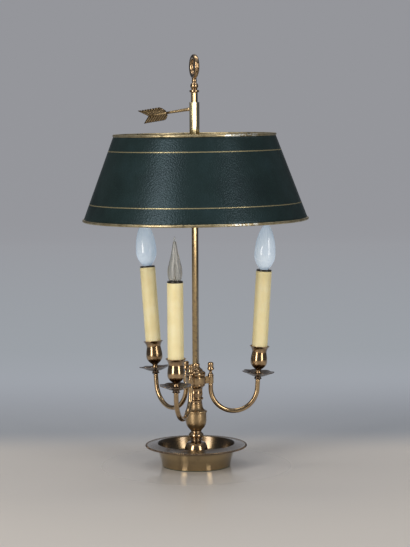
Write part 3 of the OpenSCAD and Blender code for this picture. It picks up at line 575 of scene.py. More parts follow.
bm = bmesh.new()
turn(bm, drum(BORE, DRUM_R, 0.6), 64)
for degrees in TURNS:
    known = set(bm.verts)
    turn(bm, drum(LUG_BORE, LUG_R, 0.5), 32)
    lug = [v for v in bm.verts if v not in known]
    bmesh.ops.translate(bm, verts=lug, vec=(LUG_D, 0, 0))
    web = bmesh.ops.create_cube(bm, size=1.0)["verts"]
    bmesh.ops.transform(bm, verts=web, matrix=Matrix.Translation((WEB_X, 0, (HUB_Z + HUB_TOP) / 2))
                        @ Matrix.Diagonal((*WEB, 1)))
    edges = list({e for v in web for e in v.link_edges})
    bmesh.ops.bevel(bm, geom=edges, offset=0.6, offset_type="OFFSET", affect="EDGES", segments=3, profile=0.5,
                    material=-1)
    moved = [v for v in bm.verts if v not in known]
    bmesh.ops.rotate(bm, verts=moved, cent=(0, 0, 0), matrix=Matrix.Rotation(math.radians(degrees), 3, "Z"))
make_piece("arm_hub_look", bm, "root", [arm_brass], levels=1)

# %% Cap
CAP = [
    (3.95, HUB_TOP, 1), (14.6, HUB_TOP, 0.8), (15.4, 150.5), (16.4, 152.7), (16.3, 154.9), (15.1, 156.7),
    (12.8, 158.1), (11.4, 158.9, 0.5), (11.2, 160.3), (10.7, 161.3), (8.6, 162.3), (7.1, 163.9),
    (6.5, 164.9, 0.5), (6.8, 166.3), (6.8, 168.7), (6.4, 170, 0.6), (3.95, 170, 1),
]
turned_piece("hub_cap_look", CAP, "root", aged_brass)

# %% [markdown]
# ## Stem, knop and ring
# The stem is drawn square bar with barely rounded corners, so each face shows
# one flat tone. A cube stretched and bevelled does for it, and for the sleeve
# that slides on it once its ends are inset and bridged. The ring that lifts the
# lamp is a thick wire bent round, seen almost edge on, with a turned foot.

# %% Stem
STEM_TURN = turned_by(-25, "Z")
STEM_SIDE, STEM_LOW, STEM_TOP, STEM_EDGE = 8.4, 158, 616.3, 0.45


def square_tube(bm, side, bore, low, high, rounding):
    """A square bar, or a tube when bore isn't 0, with rounded corners."""
    known = set(bm.verts)
    bar = bmesh.ops.create_cube(bm, size=1.0)["verts"]
    bmesh.ops.transform(bm, verts=bar, matrix=Matrix.Translation((0, 0, (low + high) / 2))
                        @ Matrix.Diagonal((side, side, high - low, 1)))
    if bore:
        ends = [f for f in bm.faces if f.verts[0] in bar and abs(f.normal.z) > 0.9]
        bmesh.ops.inset_individual(bm, faces=ends, thickness=(side - bore) / 2)
        loops = list({e for f in ends for e in f.edges})
        bmesh.ops.delete(bm, geom=ends, context="FACES_ONLY")
        bmesh.ops.bridge_loops(bm, edges=loops)
    # the outside edges: the bore's own edges stay sharp
    skin = side / 2 - CLOSE
    outer = {v for v in bm.verts if v not in known and max(abs(v.co.x), abs(v.co.y)) > skin}
    edges = {e for v in outer for e in v.link_edges if e.other_vert(v) in outer}
    bmesh.ops.bevel(bm, geom=list(edges), offset=rounding, offset_type="OFFSET", affect="EDGES", segments=3,
                    profile=0.5, material=-1)


bm = bmesh.new()
square_tube(bm, STEM_SIDE, 0, STEM_LOW, STEM_TOP, STEM_EDGE)
bmesh.ops.transform(bm, matrix=STEM_TURN, verts=bm.verts)
make_piece("stem_look", bm, "root", [shaded_stem_brass], levels=0)

# %% Knop and ring
TOP = STEM_TOP
KNOP = [
    (2.05, TOP, 1), (7.2, TOP, 0.6), (8, TOP + 0.9), (8.05, TOP + 2), (8, TOP + 3.2), (7, TOP + 4.2),
    (4.8, TOP + 4.8, 0.4), (4.6, TOP + 5.4), (5.8, TOP + 7), (6.6, TOP + 9.4), (6.6, TOP + 11.4),
    (5.9, TOP + 13.8), (4.2, TOP + 15.4, 0.4), (3.5, TOP + 16.4), (3.9, TOP + 17.4), (4.3, TOP + 18.6),
    (4.2, TOP + 19.7), (3.7, TOP + 20.7, 0.8), (2.05, TOP + 20.7, 1),
]
turned_piece("top_knop_look", KNOP, "root", aged_brass)

RING_R, RING_WIRE, RING_Z, RING_TURN = 16.1, 4.2, 658.4, 16
RING_FOOT = [(0, 634), (3.6, 634), (3.7, 637, 0.5), (3.9, 639), (4.4, 641), (5, 642.4), (0, 642.4)]


def wire_ring(bm, r, z, wire_r, sides, steps):
    """A round wire bent into a closed ring, added to the bmesh it is given."""
    section = bmesh.ops.create_circle(bm, segments=sides, radius=wire_r)["verts"]
    upright = Matrix.Translation((r, 0, z)) @ turned_by(90, "X")
    bmesh.ops.transform(bm, verts=section, matrix=upright)
    spin_round(bm, section + list(bm.edges), steps)


bm = bmesh.new()
wire_ring(bm, RING_R, 0, RING_WIRE, 24, 64)
bmesh.ops.transform(bm, verts=bm.verts, matrix=Matrix.Translation((0, 0, RING_Z))
                    @ turned_by(RING_TURN, "Z") @ turned_by(90, "Y"))
turn(bm, RING_FOOT, 32)
make_piece("ring_finial_look", bm, "root", [aged_brass], levels=1)

# %% [markdown]
# ## Arms
# Each arm is one brass tube bent into a U. It hangs from its lug, goes down and
# round, and comes up under its candle, which leans out a little. The tube's ring
# of vertices is spun about the bend's centre, and its ends are drawn out straight.
# That keeps the tube round in the bend, as a good tube bender does. The inner end
# narrows to the pin that turns in the lug.

# %% Where the arms are
# for each arm: degrees it is swung about its lug, degrees its candle leans out, mm it rises past the bend
SWING, LEAN, RISER = (-1.5, -0.8, 2.9), (3.4, 6.5, 0.7), (15.6, 18.0, 9.8)
BEND_R, BEND_Z, TUBE_R = (39.3, 40.1, 39.8), 128.5, 4.0
FIT = 0.05  # mm, the gap that the CAD leaves between pieces that rest on each other


def on_arm(k):
    """The place of arm k's pin, on the arm's own side of the hub."""
    return turned_by(TURNS[k], "Z") @ Matrix.Translation((LUG_D, 0, 0)) @ turned_by(SWING[k], "Z")


def on_candle(k):
    """The end of arm k's tube, where its cup and candle stand."""
    return (on_arm(k) @ Matrix.Translation((BEND_R[k], 0, BEND_Z)) @ turned_by(LEAN[k], "Y")
            @ Matrix.Translation((BEND_R[k], 0, RISER[k])))


for k, arm in enumerate(ARMS):
    print(arm, "candle: foot at", [round(c) for c in on_candle(k).translation], "mm")

# %% Arms
PIN_SHARE, PIN_LEN = 0.75, 13.1  # the pin's radius as a share of the tube's, and its length


def drawn_out(bm, loop, direction, length, cuts=1):
    """Draws a ring of edges out straight and returns its new end."""
    for _ in range(cuts):
        new = bmesh.ops.extrude_edge_only(bm, edges=loop)["geom"]
        bmesh.ops.translate(bm, verts=[g for g in new if isinstance(g, bmesh.types.BMVert)],
                            vec=direction * (length / cuts))
        loop = [g for g in new if isinstance(g, bmesh.types.BMEdge)]
    return loop


for k, arm in enumerate(ARMS):
    bm = bmesh.new()
    crease = bm.edges.layers.float.new("crease_edge")
    bmesh.ops.create_circle(bm, segments=24, radius=TUBE_R, matrix=Matrix.Translation((0, 0, BEND_Z)))
    inner_end = list(bm.edges)
    sweep = 180 - LEAN[k]
    bent = bmesh.ops.spin(bm, geom=list(bm.verts) + inner_end, cent=(BEND_R[k], 0, BEND_Z), axis=(0, -1, 0),
                          angle=math.radians(sweep), steps=40, use_duplicate=False)["geom_last"]
    outer_end = [g for g in bent if isinstance(g, bmesh.types.BMEdge)]
    out = Vector((math.sin(math.radians(LEAN[k])), 0, math.cos(math.radians(LEAN[k]))))
    tip = drawn_out(bm, outer_end, out, RISER[k] - 2 * FIT, 3)
    for edge in tip:
        edge[crease] = 1.0
    bmesh.ops.edgenet_fill(bm, edges=tip)
    top = drawn_out(bm, inner_end, Vector((0, 0, 1)), HUB_Z - FIT - BEND_Z, 2)
    shoulder = bmesh.ops.extrude_edge_only(bm, edges=top)["geom"]
    ring = [g for g in shoulder if isinstance(g, bmesh.types.BMVert)]
    bmesh.ops.scale(bm, verts=ring, vec=(PIN_SHARE, PIN_SHARE, 1))
    pin = drawn_out(bm, [g for g in shoulder if isinstance(g, bmesh.types.BMEdge)], Vector((0, 0, 1)),
                    PIN_LEN)
    bmesh.ops.edgenet_fill(bm, edges=pin)
    bmesh.ops.transform(bm, matrix=on_arm(k), verts=bm.verts)
    make_piece(f"arm_{arm}_look", bm, f"{arm}_arm", [arm_brass], levels=1)

# %% [markdown]
# ## Urn nuts, pans, cups and candles
# An urn-shaped nut holds each arm in its lug. The pan catches wax: a shallow
# dish with eight lobes and a rolled edge, over a small collar. The cup is a tulip
# on a knop. The candle is a sleeve over the black holder, whose ring shows. All
# are turned. The pan's rim is then drawn in between its lobes, vertex by vertex,
# and lifted a little there, as pressed sheet does when it is fluted.

# %% Outlines of the candle pieces
URN_NUT = [
    (1.95, 0, 1), (5, 0, 0.8), (5, 0.9, 0.4), (4.4, 1.8), (4, 3), (3.2, 4.4), (2.4, 5.8), (2.2, 7.2, 0.4),
    (2.9, 8.3), (4.5, 9.2), (5.6, 10.3), (5.85, 11.4), (5.5, 12.6), (4.85, 13.8), (4.7, 15), (4.9, 17),
    (5, 19), (4.8, 20.8), (4, 22.2), (2.4, 22.9), (0, 23.1), (0, 4, 1), (1.95, 4, 1),
]
PAN = [
    (2.95, 4, 1), (6.8, 4), (10.5, 5), (15.5, 6.9), (20.5, 9.2), (24.8, 10.6), (26.7, 11), (27.35, 11.6),
    (27.2, 12.2), (26.3, 12.4), (24.6, 11.8), (20.2, 10.5), (15, 8.1), (10, 6.3), (6.8, 5.7),
    (2.95, 5.7, 1),
]
COLLAR = [
    (2.95, 0, 1), (6.2, 0, 0.7), (6.5, 0.6), (6.3, 1.2), (5.5, 2), (5.2, 3), (5.8, 4.1), (7, 4.7), (7, 5),
    (2.95, 5, 1),
]
CUP = [
    (2.95, 5.7, 1), (4.6, 5.7, 0.8), (5, 6.9), (5.6, 8.7), (5.6, 11.4), (5, 13.1), (4.1, 14.1, 0.3),
    (4.3, 15.3), (6, 16.6, 0.3), (6.8, 17.4), (9.2, 19.2), (11.9, 22.2), (13.6, 25.5), (14.15, 29.1),
    (13.95, 33.7), (13.2, 38.3), (12.4, 42.9), (12, 45.3), (12.4, 48.5), (13.7, 51.3), (15.5, 53.6),
    (16.7, 54.7, 0.3), (16.7, 55.2), (16.1, 55.5), (15, 54.9), (13.8, 53.9), (13.1, 53, 1),
    (11.1, 52.9, 1), (10.9, 44), (10.9, 30), (9.5, 25.7), (2.95, 25.7, 1),
]
print("pan", 2 * max(p[0] for p in PAN), "mm across, cup", max(p[1] for p in CUP), "mm high")

# %% Candle pieces
PAN_R, LOBES, FLAT_R, LOBE_WIDTH, WAVE = 27.4, 8, 11, 1.12, 0.4
SEAT, CANDLE_R, WALL = 52.9, 13.0, 0.9
CANDLE_LEN = (127.0, 127.5, 124.2)
HOLDER_R, HOLDER_RING_R, HOLDER_LEN, HOLDER_UP = 11.8, 12.5, 52, 3
SOCKET_R, SOCKET_DEPTH = 7.4, 32


def lobed(verts):
    """Draws the rim of a round pan in between its lobes, and leaves its middle round."""
    lobe = PAN_R * math.sin(math.pi / LOBES) * LOBE_WIDTH
    reach = PAN_R - lobe
    step = 2 * math.pi / LOBES
    for v in verts:
        share = max(0.0, (math.hypot(v.co.x, v.co.y) - FLAT_R) / (PAN_R - FLAT_R))
        a = (math.atan2(v.co.y, v.co.x) + step / 2) % step - step / 2
        edge = reach * math.cos(a) + math.sqrt(lobe ** 2 - (reach * math.sin(a)) ** 2)
        shrink = 1 - (1 - edge / PAN_R) * share
        v.co.x *= shrink
        v.co.y *= shrink
        v.co.z += WAVE * share ** 2 * math.cos(a * LOBES)


for k, arm in enumerate(ARMS):
    body = arm + "_arm"
    up = on_candle(k)
    turned_piece(f"lug_finial_{arm}_look", URN_NUT, body, aged_brass,
                 on_arm(k) @ Matrix.Translation((0, 0, HUB_TOP + FIT)), 32)
    bm = bmesh.new()
    lobed(turn(bm, PAN, 96))
    turn(bm, COLLAR, 32)
    bmesh.ops.transform(bm, matrix=up, verts=bm.verts)
    make_piece(f"drip_pan_{arm}_look", bm, body, [pan_brass])
    turned_piece(f"candle_cup_{arm}_look", CUP, body, aged_brass, up)
    end = SEAT + CANDLE_LEN[k]
    inside = CANDLE_R - WALL
    candle = [(inside, SEAT + FIT, 1), (CANDLE_R, SEAT + FIT, 1), (CANDLE_R, SEAT + 2), (CANDLE_R, end - 2),
              (CANDLE_R, end - 0.3), (CANDLE_R - 0.3, end), (inside, end, 0.8), (inside, end - 2)]
    turned_piece(f"candle_tube_{arm}_look", candle, body, candle_card, up)
    top = end + HOLDER_UP
    holder = [(0, top - HOLDER_LEN, 1), (HOLDER_R, top - HOLDER_LEN, 1), (HOLDER_R, end, 1),
              (HOLDER_RING_R, end + FIT, 1), (HOLDER_RING_R, top - 0.6), (HOLDER_RING_R - 0.6, top),
              (SOCKET_R + 0.8, top, 0.5), (SOCKET_R, top - 0.6), (SOCKET_R, top - SOCKET_DEPTH, 1),
              (0, top - SOCKET_DEPTH, 1)]
    turned_piece(f"lampholder_{arm}_look", holder, body, phenolic, up)

# %% [markdown]
# ## Bulbs
# The side bulbs are plain opal candle bulbs. The front one is a slim clear flame
# bulb, whose wires and stem show through the wall, so it is a real shell of glass
# with an inner and an outer surface. An outline here is shares of the bulb's
# radius and length, which a function turns to millimetres and gives its wall.

# %% Bulbs
OPAL = [
    (0.45, 0.02), (0.58, 0.05), (0.7, 0.09), (0.82, 0.14), (0.94, 0.2), (0.995, 0.27), (1.005, 0.35),
    (0.975, 0.45), (0.925, 0.55), (0.85, 0.64), (0.745, 0.725), (0.615, 0.81), (0.435, 0.895),
    (0.265, 0.955), (0.12, 0.988),
]
CLEAR = [
    (0.82, 0.01), (0.9, 0.045), (0.985, 0.11), (1.005, 0.17), (0.985, 0.25), (0.905, 0.335), (0.75, 0.425),
    (0.6, 0.515), (0.49, 0.605), (0.4, 0.695), (0.3, 0.785), (0.2, 0.875), (0.09, 0.96),
]
OPAL_R, OPAL_LEN = 17.5, 76.5
CLEAR_R, CLEAR_LEN = 11.8, 71.0
GLASS_WALL, NECK_R, NECK_H, BULB_LIFT = 0.8, 6.4, 1.2, 2


def bulb_outline(shape, r, length, low):
    """A shell of glass on a short neck, from the shares in shape."""
    start = low + NECK_H + 0.1
    inside = NECK_R - GLASS_WALL
    outer = [(NECK_R, low, 1), (NECK_R, low + NECK_H)] + [(a * r, start + b * length) for a, b in shape]
    inner = []
    for a, b in shape:
        if a * r > 2 * GLASS_WALL:
            inner.append((a * r - GLASS_WALL, start + max(b * length, GLASS_WALL)))
    tip = [(0, start + length), (0, inner[-1][1] + 0.4)]
    return outer + tip + inner[::-1] + [(inside, low + NECK_H), (inside, low, 1)]


for k, arm in enumerate(ARMS):
    low = SEAT + CANDLE_LEN[k] + BULB_LIFT
    if arm == "front":
        outline, slot, glass = bulb_outline(CLEAR, CLEAR_R, CLEAR_LEN, low), "clear_glass", clear_glass
    else:
        outline, slot, glass = bulb_outline(OPAL, OPAL_R, OPAL_LEN, low), "opal_glass", opal_glass
    turned_piece(f"bulb_glass_{arm}_look", outline, arm + "_arm", glass, on_candle(k))

# %% [markdown]
# ## Shade
# The cone is rolled sheet, one millimetre thick, with a wire rolled into each
# rim. It is a thin closed outline spun in 180 steps, because a shade this wide
# shows its corners early. The outside is painted and the inside bronzed: each
# face that points away from the axis takes the first finish, the others take the
# second. The shade hangs half a degree askew, so it is tilted about its spider.

# %% Shade
SPIDER_Z = 530.7
LEFT_TO_RIGHT, FRONT_TO_BACK = -0.5, -0.2  # degrees that the shade hangs askew
TILT = (Matrix.Translation((0, 0, SPIDER_Z)) @ turned_by(LEFT_TO_RIGHT, "Y")
        @ turned_by(FRONT_TO_BACK, "X") @ Matrix.Translation((0, 0, -SPIDER_Z)))
TOP_RIM_R, LOW_RIM_R = 134.1, 185.7
TOP_Z, LOW_Z = SHADE_TOP - WIRE, SHADE_TOP - SHADE_H + WIRE
TOP_R, LOW_R = TOP_RIM_R - WIRE, LOW_RIM_R - WIRE
HALF_SHEET, BANDS, AROUND = 0.5, 12, 180


def sheet_face(offset):
    """One face of the sheet from its lower rim to its upper one, crisp at both."""
    face = [(LOW_R + offset, LOW_Z, 1)]
    for t in range(1, BANDS):
        face.append((LOW_R + offset + (TOP_R - LOW_R) * t / BANDS, LOW_Z + (TOP_Z - LOW_Z) * t / BANDS))
    return face + [(TOP_R + offset, TOP_Z, 1)]


bm = bmesh.new()
turn(bm, sheet_face(HALF_SHEET) + sheet_face(-HALF_SHEET)[::-1], AROUND)
below = bm.verts.layers.float.new("below_top")
for v in bm.verts:
    v[below] = SHADE_TOP - v.co.z
bm.normal_update()
bmesh.ops.recalc_face_normals(bm, faces=bm.faces)
for f in bm.faces:
    centre = f.calc_center_median()
    f.material_index = 0 if f.normal.x * centre.x + f.normal.y * centre.y > 0 else 1
bmesh.ops.transform(bm, matrix=TILT, verts=bm.verts)
make_piece("shade_cone_look", bm, "shade", [tole, lining], levels=1)

for name, r, z in (("shade_top_bead", TOP_R, TOP_Z), ("shade_bottom_bead", LOW_R, LOW_Z)):
    bm = bmesh.new()
    wire_ring(bm, r, z, WIRE, 16, AROUND)
    bmesh.ops.transform(bm, matrix=TILT, verts=bm.verts)
    make_piece(name + "_look", bm, "shade", [gilt], levels=1)

# %% [markdown]
# ## Spider
# Three flat bars run from a collar on the sleeve to the shade's wall, where each
# ends in a tab soldered to the sheet. The tab is a short upright section swept
# round by 14 degrees, so it follows the cone. Seen from below, the bars cross the
# bright opening, so their rounded edges matter.

# %% Spider
BAR_W, BAR_T, BAR_ANGLES = 7.0, 2.4, (30, 150, 270)
TAB_T, TAB_H, TAB_TURN, SOLDER = 1.2, 14.0, 14, 0.04
COLLAR_LOW, COLLAR_H, COLLAR_R, COLLAR_BORE, COLLAR_EDGE = 527.7, 6, 11.44, 6.3, 10.9
slope = (LOW_R - TOP_R) / (TOP_Z - LOW_Z)
wall_r = TOP_R + (LOW_R - TOP_R) * (TOP_Z - SPIDER_Z) / (TOP_Z - LOW_Z) - HALF_SHEET - SOLDER
bar_start, bar_end = COLLAR_R - 1, wall_r - 0.5  # the bars reach into the collar and the tabs
reach = bar_end - bar_start
bm = bmesh.new()
turn(bm, [(COLLAR_BORE, COLLAR_LOW, 1), (COLLAR_EDGE, COLLAR_LOW), (COLLAR_R, COLLAR_LOW + 0.6),
          (COLLAR_R, COLLAR_LOW + COLLAR_H - 0.6), (COLLAR_EDGE, COLLAR_LOW + COLLAR_H),
          (COLLAR_BORE, COLLAR_LOW + COLLAR_H, 1)], 48)
for degrees in BAR_ANGLES:
    known = set(bm.verts)
    bar = bmesh.ops.create_cube(bm, size=1.0)["verts"]
    bmesh.ops.transform(bm, verts=bar, matrix=Matrix.Translation((bar_start + reach / 2, 0, SPIDER_Z))
                        @ Matrix.Diagonal((reach, BAR_W, BAR_T, 1)))
    bmesh.ops.bevel(bm, geom=list({e for v in bar for e in v.link_edges}), offset=0.35, offset_type="OFFSET",
                    affect="EDGES", segments=2, profile=0.5, material=-1)
    low, high = SPIDER_Z - BAR_T / 2, SPIDER_Z - BAR_T / 2 + TAB_H
    corners = [(r - slope * (z - SPIDER_Z), z) for r, z in
               ((wall_r - TAB_T, low), (wall_r, low), (wall_r, high), (wall_r - TAB_T, high))]
    section = [bm.verts.new((r, 0, z)) for r, z in corners]
    start = bm.faces.new(section)
    half_back = Matrix.Rotation(math.radians(-TAB_TURN / 2), 3, "Z")
    bmesh.ops.rotate(bm, verts=section, cent=(0, 0, 0), matrix=half_back)
    bmesh.ops.spin(bm, geom=[start], cent=(0, 0, 0), axis=(0, 0, 1), angle=math.radians(TAB_TURN), steps=6,
                   use_duplicate=False)
    moved = [v for v in bm.verts if v not in known]
    bmesh.ops.rotate(bm, verts=moved, cent=(0, 0, 0), matrix=Matrix.Rotation(math.radians(degrees), 3, "Z"))
bmesh.ops.transform(bm, matrix=TILT, verts=bm.verts)
# the spider wears the stem's brass, painted darker as shade
make_piece("shade_spider_look", bm, "shade", [shaded_stem_brass], levels=0)

# %% [markdown]
# ## Sleeve
# The sleeve is square tube that slides on the stem and carries the spider. It is
# the same bevelled bar as the stem, bored, and turned with the stem so that their
# faces stay parallel.

# %% Sleeve
SLEEVE_SIDE, SLEEVE_BORE, SLEEVE_TOP, SLEEVE_EDGE = 12.5, 8.7, 600.7, 0.5
bm = bmesh.new()
square_tube(bm, SLEEVE_SIDE, SLEEVE_BORE, COLLAR_LOW, SLEEVE_TOP, SLEEVE_EDGE)
bmesh.ops.transform(bm, matrix=STEM_TURN, verts=bm.verts)
make_piece("shade_sleeve_look", bm, "shade", [sleeve_brass], levels=0)

# %% [markdown]
# ## Arrow key
# The clamp screw's head is an arrow's shaft with its feathers. The two vanes are
# plates cut into barbs that sweep back, with a rib along the middle. Each plate is
# drawn as a few points, extruded to its thickness and bevelled. The key is made
# upright round the Z axis, which keeps its points simple, and then put in place:
# rolled about its own axis, laid down, and moved to the sleeve's face.

# %% Arrow key
KEY_ROLL, KEY_DOWN, KEY_OUT, KEY_Z, KEY_ROUND = -36, 98.4, 6.25, 589.6, 155
KEY = (turned_by(KEY_ROUND, "Z") @ Matrix.Translation((KEY_OUT, 0, KEY_Z))
       @ turned_by(KEY_DOWN, "Y") @ turned_by(KEY_ROLL, "Z"))
VANE_START, VANE_END, VANE_W, VANE_T, NOTCH = 43.5, 92.8, 13.2, 1.2, 14.2
SHOULDER, TAIL = 12, 3  # how far back the front edge sweeps, and the plain end behind the last barb
FRONT = [(2, 0.6), (0.55 * VANE_W, 3.2), (0.8 * VANE_W, 5.8), (0.95 * VANE_W, 8.6), (VANE_W, SHOULDER)]
BARBS, BARB_LEN, BARB_DEPTHS = 7, 2.2, {1: 0.9, -1: 1.8}
RAISED_T, RAISED_HALF = 1.9, 0.32  # a raised barb's thickness, and half its width as a share of the pitch
RIB_END = VANE_END - NOTCH
RIB = [(0, VANE_START - 1), (1.9, VANE_START - 1), (1.95, VANE_START + 3), (1.7, VANE_START + 20),
       (1.5, RIB_END - 0.5), (1.0, RIB_END), (0, RIB_END)]
SHAFT = [(0, 0.8, 1), (2.5, 0.8, 0.8), (2.95, 1.6), (2.9, 4), (2.65, 12), (2.35, 24), (2.1, 38),
         (1.95, 45), (0, 45)]
SCREW = [(0, -0.85, 1), (2.45, -0.85, 1), (2.45, 1.1, 1), (0, 1.1, 1)]


def plate(bm, points, thick, rounding, soil=0.0):
    """A flat plate in the X-Z plane, drawn as points, extruded and bevelled."""
    recess = bm.verts.layers.float.get("recess") or bm.verts.layers.float.new("recess")
    verts = [bm.verts.new((x, -thick / 2, z)) for x, z in points]
    for v in verts:
        v[recess] = soil
    face = bm.faces.new(verts)
    made = bmesh.ops.extrude_face_region(bm, geom=[face])["geom"]
    top = [g for g in made if isinstance(g, bmesh.types.BMVert)]
    bmesh.ops.translate(bm, verts=top, vec=(0, thick, 0))
    edges = {e for v in verts + top for e in v.link_edges if abs(e.verts[0].co.y - e.verts[1].co.y) < CLOSE}
    bmesh.ops.bevel(bm, geom=list(edges), offset=rounding, offset_type="OFFSET", affect="EDGES", segments=2,
                    profile=0.5, material=-1)


def front_of_vane(x):
    """How far behind the vane's start its front edge lies, x away from the shaft."""
    for (x0, z0), (x1, z1) in zip(FRONT, FRONT[1:]):
        if x <= x1:
            return z0 + (z1 - z0) * max(0.0, x - x0) / (x1 - x0)
    return FRONT[-1][1]


def along_barb(tip, x):
    """A barb whose tip is at the vane's edge runs forward towards the shaft."""
    return tip - NOTCH * (1 - x / VANE_W)


bm = bmesh.new()
length = VANE_END - VANE_START
pitch = (length - SHOULDER - TAIL) / BARBS
for side, depth in BARB_DEPTHS.items():
    nicks = [(VANE_W - dx, SHOULDER + i * pitch + dz)
             for i in range(BARBS) for dx, dz in ((0, 0), (depth, BARB_LEN), (0, BARB_LEN))]
    outline = [(0.5, -1), *FRONT[:-1], *nicks, (VANE_W, length), (0.5, length - NOTCH + 0.5)]
    plate(bm, [(side * x, VANE_START + z) for x, z in outline], VANE_T, 0.15, soil=0.9)
    # a raised barb ends at each nick and sweeps forward to the rib, or to the vane's front edge
    for i in range(-1, BARBS + 1):
        tip = SHOULDER + i * pitch + BARB_LEN - 0.5 * pitch
        across = [1.2 + 0.3 * n for n in range(37)]
        run = [x for x in across if along_barb(tip, x) > front_of_vane(x) + 0.7]
        if not run or tip > length - 0.8:
            continue
        ends = [(run[0], along_barb(tip, run[0])), (VANE_W - depth - 0.2, along_barb(tip, VANE_W - depth))]
        half = RAISED_HALF * pitch
        strip = [(x, z - half) for x, z in ends] + [(x, z + half) for x, z in ends[::-1]]
        plate(bm, [(side * x, VANE_START + z) for x, z in strip], RAISED_T, 0.3)
for outline, steps in ((RIB, 24), (SHAFT, 32), (SCREW, 24)):
    turn(bm, outline, steps)
bmesh.ops.transform(bm, matrix=KEY, verts=bm.verts)
make_piece("arrow_key_look", bm, "arrow_key", [key_brass], levels=0)

# %% [markdown]
# ## Studio
# The lamp stands on a plain pale floor that sweeps up into a grey backdrop, far
# enough behind that a camera can go all the way round the lamp. The soft boxes
# would light it unevenly from there, so it glows by itself instead, as backlit
# board does. The sweep is one edge, drawn out along a curve.

# %% Floor and backdrop
FLOOR_END, CURVE, WALL_H, HALF_W, BEND_STEPS = 4.6, 0.9, 4.2, 5.0, 16  # metres, and steps in the curve
sweep = [(0, -HALF_W, 0), (0, FLOOR_END, 0)]
for i in range(1, BEND_STEPS + 1):
    bend = math.pi / 2 * i / BEND_STEPS
    sweep.append((0, FLOOR_END + CURVE * math.sin(bend), CURVE * (1 - math.cos(bend))))
sweep.append((0, FLOOR_END + CURVE, WALL_H))
floor_mesh = bmesh.new()
edge = [floor_mesh.edges.new([floor_mesh.verts.new((x, sweep[0][1], 0)) for x in (-HALF_W, HALF_W)])]
for near, far in zip(sweep, sweep[1:]):
    grown = bmesh.ops.extrude_edge_only(floor_mesh, edges=edge)["geom"]
    bmesh.ops.translate(floor_mesh, verts=[g for g in grown if isinstance(g, bmesh.types.BMVert)],
                        vec=Vector(far) - Vector(near))
    edge = [g for g in grown if isinstance(g, bmesh.types.BMEdge)]
bmesh.ops.recalc_face_normals(floor_mesh, faces=floor_mesh.faces)
data = bpy.data.meshes.new("floor")
floor_mesh.to_mesh(data)
floor_mesh.free()
data.shade_smooth()
floor = bpy.data.objects.new("floor", data)
bpy.context.scene.collection.objects.link(floor)
print("floor:", len(data.polygons), "faces")

# %% [markdown]
# ## The board's finish
# One board has four zones, and each fades softly into the next. Near the lamp it
# is pale, and polished enough for the dish to stand in its own reflection. Just
# behind the lamp it turns a cooler grey. Further back its paint gives way to the
# glow, and far out to the sides it is painted dark as painted shade, standing for
# an unlit studio, so that brass mirrors something dark.

# %% Board
PALE, GLOW, SIDE_SHADE_ZONE = (0.1, 0.32), (0.25, 1.0), (0.95, 2.2)  # metres: where each fade starts and ends
POLISHED, DULL = (0.09, 0.2), (0.3, 0.6)
paper, tree, shader, place = new_finish("pale board, polished, backlit grey behind", IOR=1.5)
across, depth, _ = add(tree, "SeparateXYZ", {"Vector": place}).outputs
fade = add(tree, "MapRange", {"Value": depth, "From Min": PALE[0], "From Max": PALE[1]},
           interpolation_type="SMOOTHSTEP")
tone = add(tree, "ValToRGB", {"Fac": fade.outputs[0]}, [(0.0, colour("#c9c6c2")), (1.0, colour("#a2a8b0"))])
# far out to the sides the board is painted dark: painted shade for an unlit studio
wide = add(tree, "Math", {0: across}, operation="ABSOLUTE")
side_shade_fade = add(tree, "MapRange", {"Value": wide.outputs[0], "From Min": SIDE_SHADE_ZONE[0], "From Max": SIDE_SHADE_ZONE[1]},
            interpolation_type="SMOOTHSTEP")
sides = add(tree, "Mix", {"Factor": side_shade_fade.outputs[0], "A": tone.outputs["Color"], "B": colour("#4a4d52")},
            data_type="RGBA")
# where the board glows, its paint is nearly black, so that the glow alone sets its tone
glow = add(tree, "MapRange", {"Value": depth, "From Min": GLOW[0], "From Max": GLOW[1]},
           interpolation_type="SMOOTHSTEP")
unlit = add(tree, "Mix", {"Factor": glow.outputs[0], "A": sides.outputs[2], "B": colour("#101112")},
            data_type="RGBA")
behind = add(tree, "MapRange", {"Value": depth, "From Max": FLOOR_END + CURVE})
grey_glow = add(tree, "ValToRGB", {"Fac": behind.outputs[0]},
                [(0.06, colour("#9ea2ab")), (0.25, colour("#969ba1")), (0.9, colour("#939499"))])
# the glow is painted dark far out to the sides too, as painted shade
middle = add(tree, "Mix", {"Factor": side_shade_fade.outputs[0], "A": grey_glow.outputs["Color"],
                           "B": colour("#3c3e42")}, data_type="RGBA")
# polished round the foot, where the dish mirrors it, and duller further out
away = add(tree, "VectorMath", {0: place}, operation="LENGTH").outputs["Value"]
near = add(tree, "MapRange",
           {"Value": away, "From Min": POLISHED[0], "From Max": POLISHED[1], "To Min": 0.1, "To Max": 0.36},
           interpolation_type="SMOOTHSTEP")
far = add(tree, "MapRange", {"Value": away, "From Min": DULL[0], "From Max": DULL[1], "To Max": 0.5},
          interpolation_type="SMOOTHSTEP")
matt = add(tree, "Math", {0: near.outputs[0], 1: far.outputs[0]}, operation="ADD")
dress(tree, shader, Base_Color=unlit.outputs[2], Roughness=matt.outputs[0], Emission_Color=middle.outputs[2],
      Emission_Strength=glow.outputs[0])
floor.data.materials.append(paper)
print("board:", len(tree.nodes), "shader nodes")

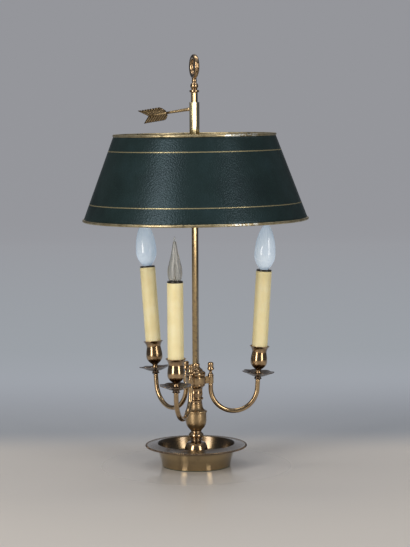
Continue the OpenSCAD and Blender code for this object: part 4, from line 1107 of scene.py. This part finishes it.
# %% [markdown]
# ## Lights
# Two tall soft boxes, one left and one right of the camera, draw two bright bars
# down every turned piece. A third hangs over the lamp and points behind it. The
# rest of the room is dim and a little lighter above, so that brass looks like
# brass: bright bars between dark ones. A soft box's strength is given for each
# square metre, so that its bar keeps its brightness when its size is changed.

# %% Lights
WARM_WHITE = "#fff6ea"
world = bpy.data.worlds.new("dim room, lighter above")
world.use_nodes = True
tree = world.node_tree
background = tree.nodes["Background"]
background.inputs["Color"].default_value = colour("#d9dde6")
skyward = add(tree, "TexCoord").outputs["Generated"]
up = add(tree, "SeparateXYZ", {"Vector": skyward}).outputs["Z"]
level = add(tree, "MapRange", {"Value": up, "From Min": 0.5, "From Max": 1.0, "To Min": 0.14, "To Max": 0.8})
tree.links.new(level.outputs[0], background.inputs["Strength"])
bpy.context.scene.world = world


def softbox(name, azimuth, distance, height, size, radiance, aim=0.35, behind=0.0):
    """A lamp of size metres, azimuth degrees round from the camera, that looks at the
    point aim metres up and behind metres behind the lamp."""
    data = bpy.data.lights.new(name, "AREA")
    data.shape = "RECTANGLE"
    data.size, data.size_y = size
    data.energy = radiance * math.pi * size[0] * size[1]
    data.color = colour(WARM_WHITE)[:3]
    light = bpy.data.objects.new(name, data)
    light.visible_camera = False
    a = math.radians(azimuth)
    spot = Vector((distance * math.sin(a), -distance * math.cos(a), height))
    look = (Vector((0, behind, aim)) - spot).to_track_quat("-Z", "Y")
    light.matrix_world = Matrix.Translation(spot) @ look.to_matrix().to_4x4()
    bpy.context.scene.collection.objects.link(light)
    print(f"{name}: {data.energy:.0f} W")


softbox("left soft box", -40, 2.6, 1.12, (0.8, 2.15), 8.6)
softbox("right soft box", 44, 2.6, 0.9, (0.66, 1.7), 7.0)
softbox("backdrop light", 180, 0.2, 2.4, (2.6, 0.5), 4.0, aim=0.55, behind=1.25)

# %% [markdown]
# ## Colour management
# The Standard view shows each colour as it was mixed. A filmic view would roll the
# bright bars off to a paler yellow.

# %% Colour management
bpy.context.scene.view_settings.view_transform = "Standard"
print("view:", bpy.context.scene.view_settings.view_transform)
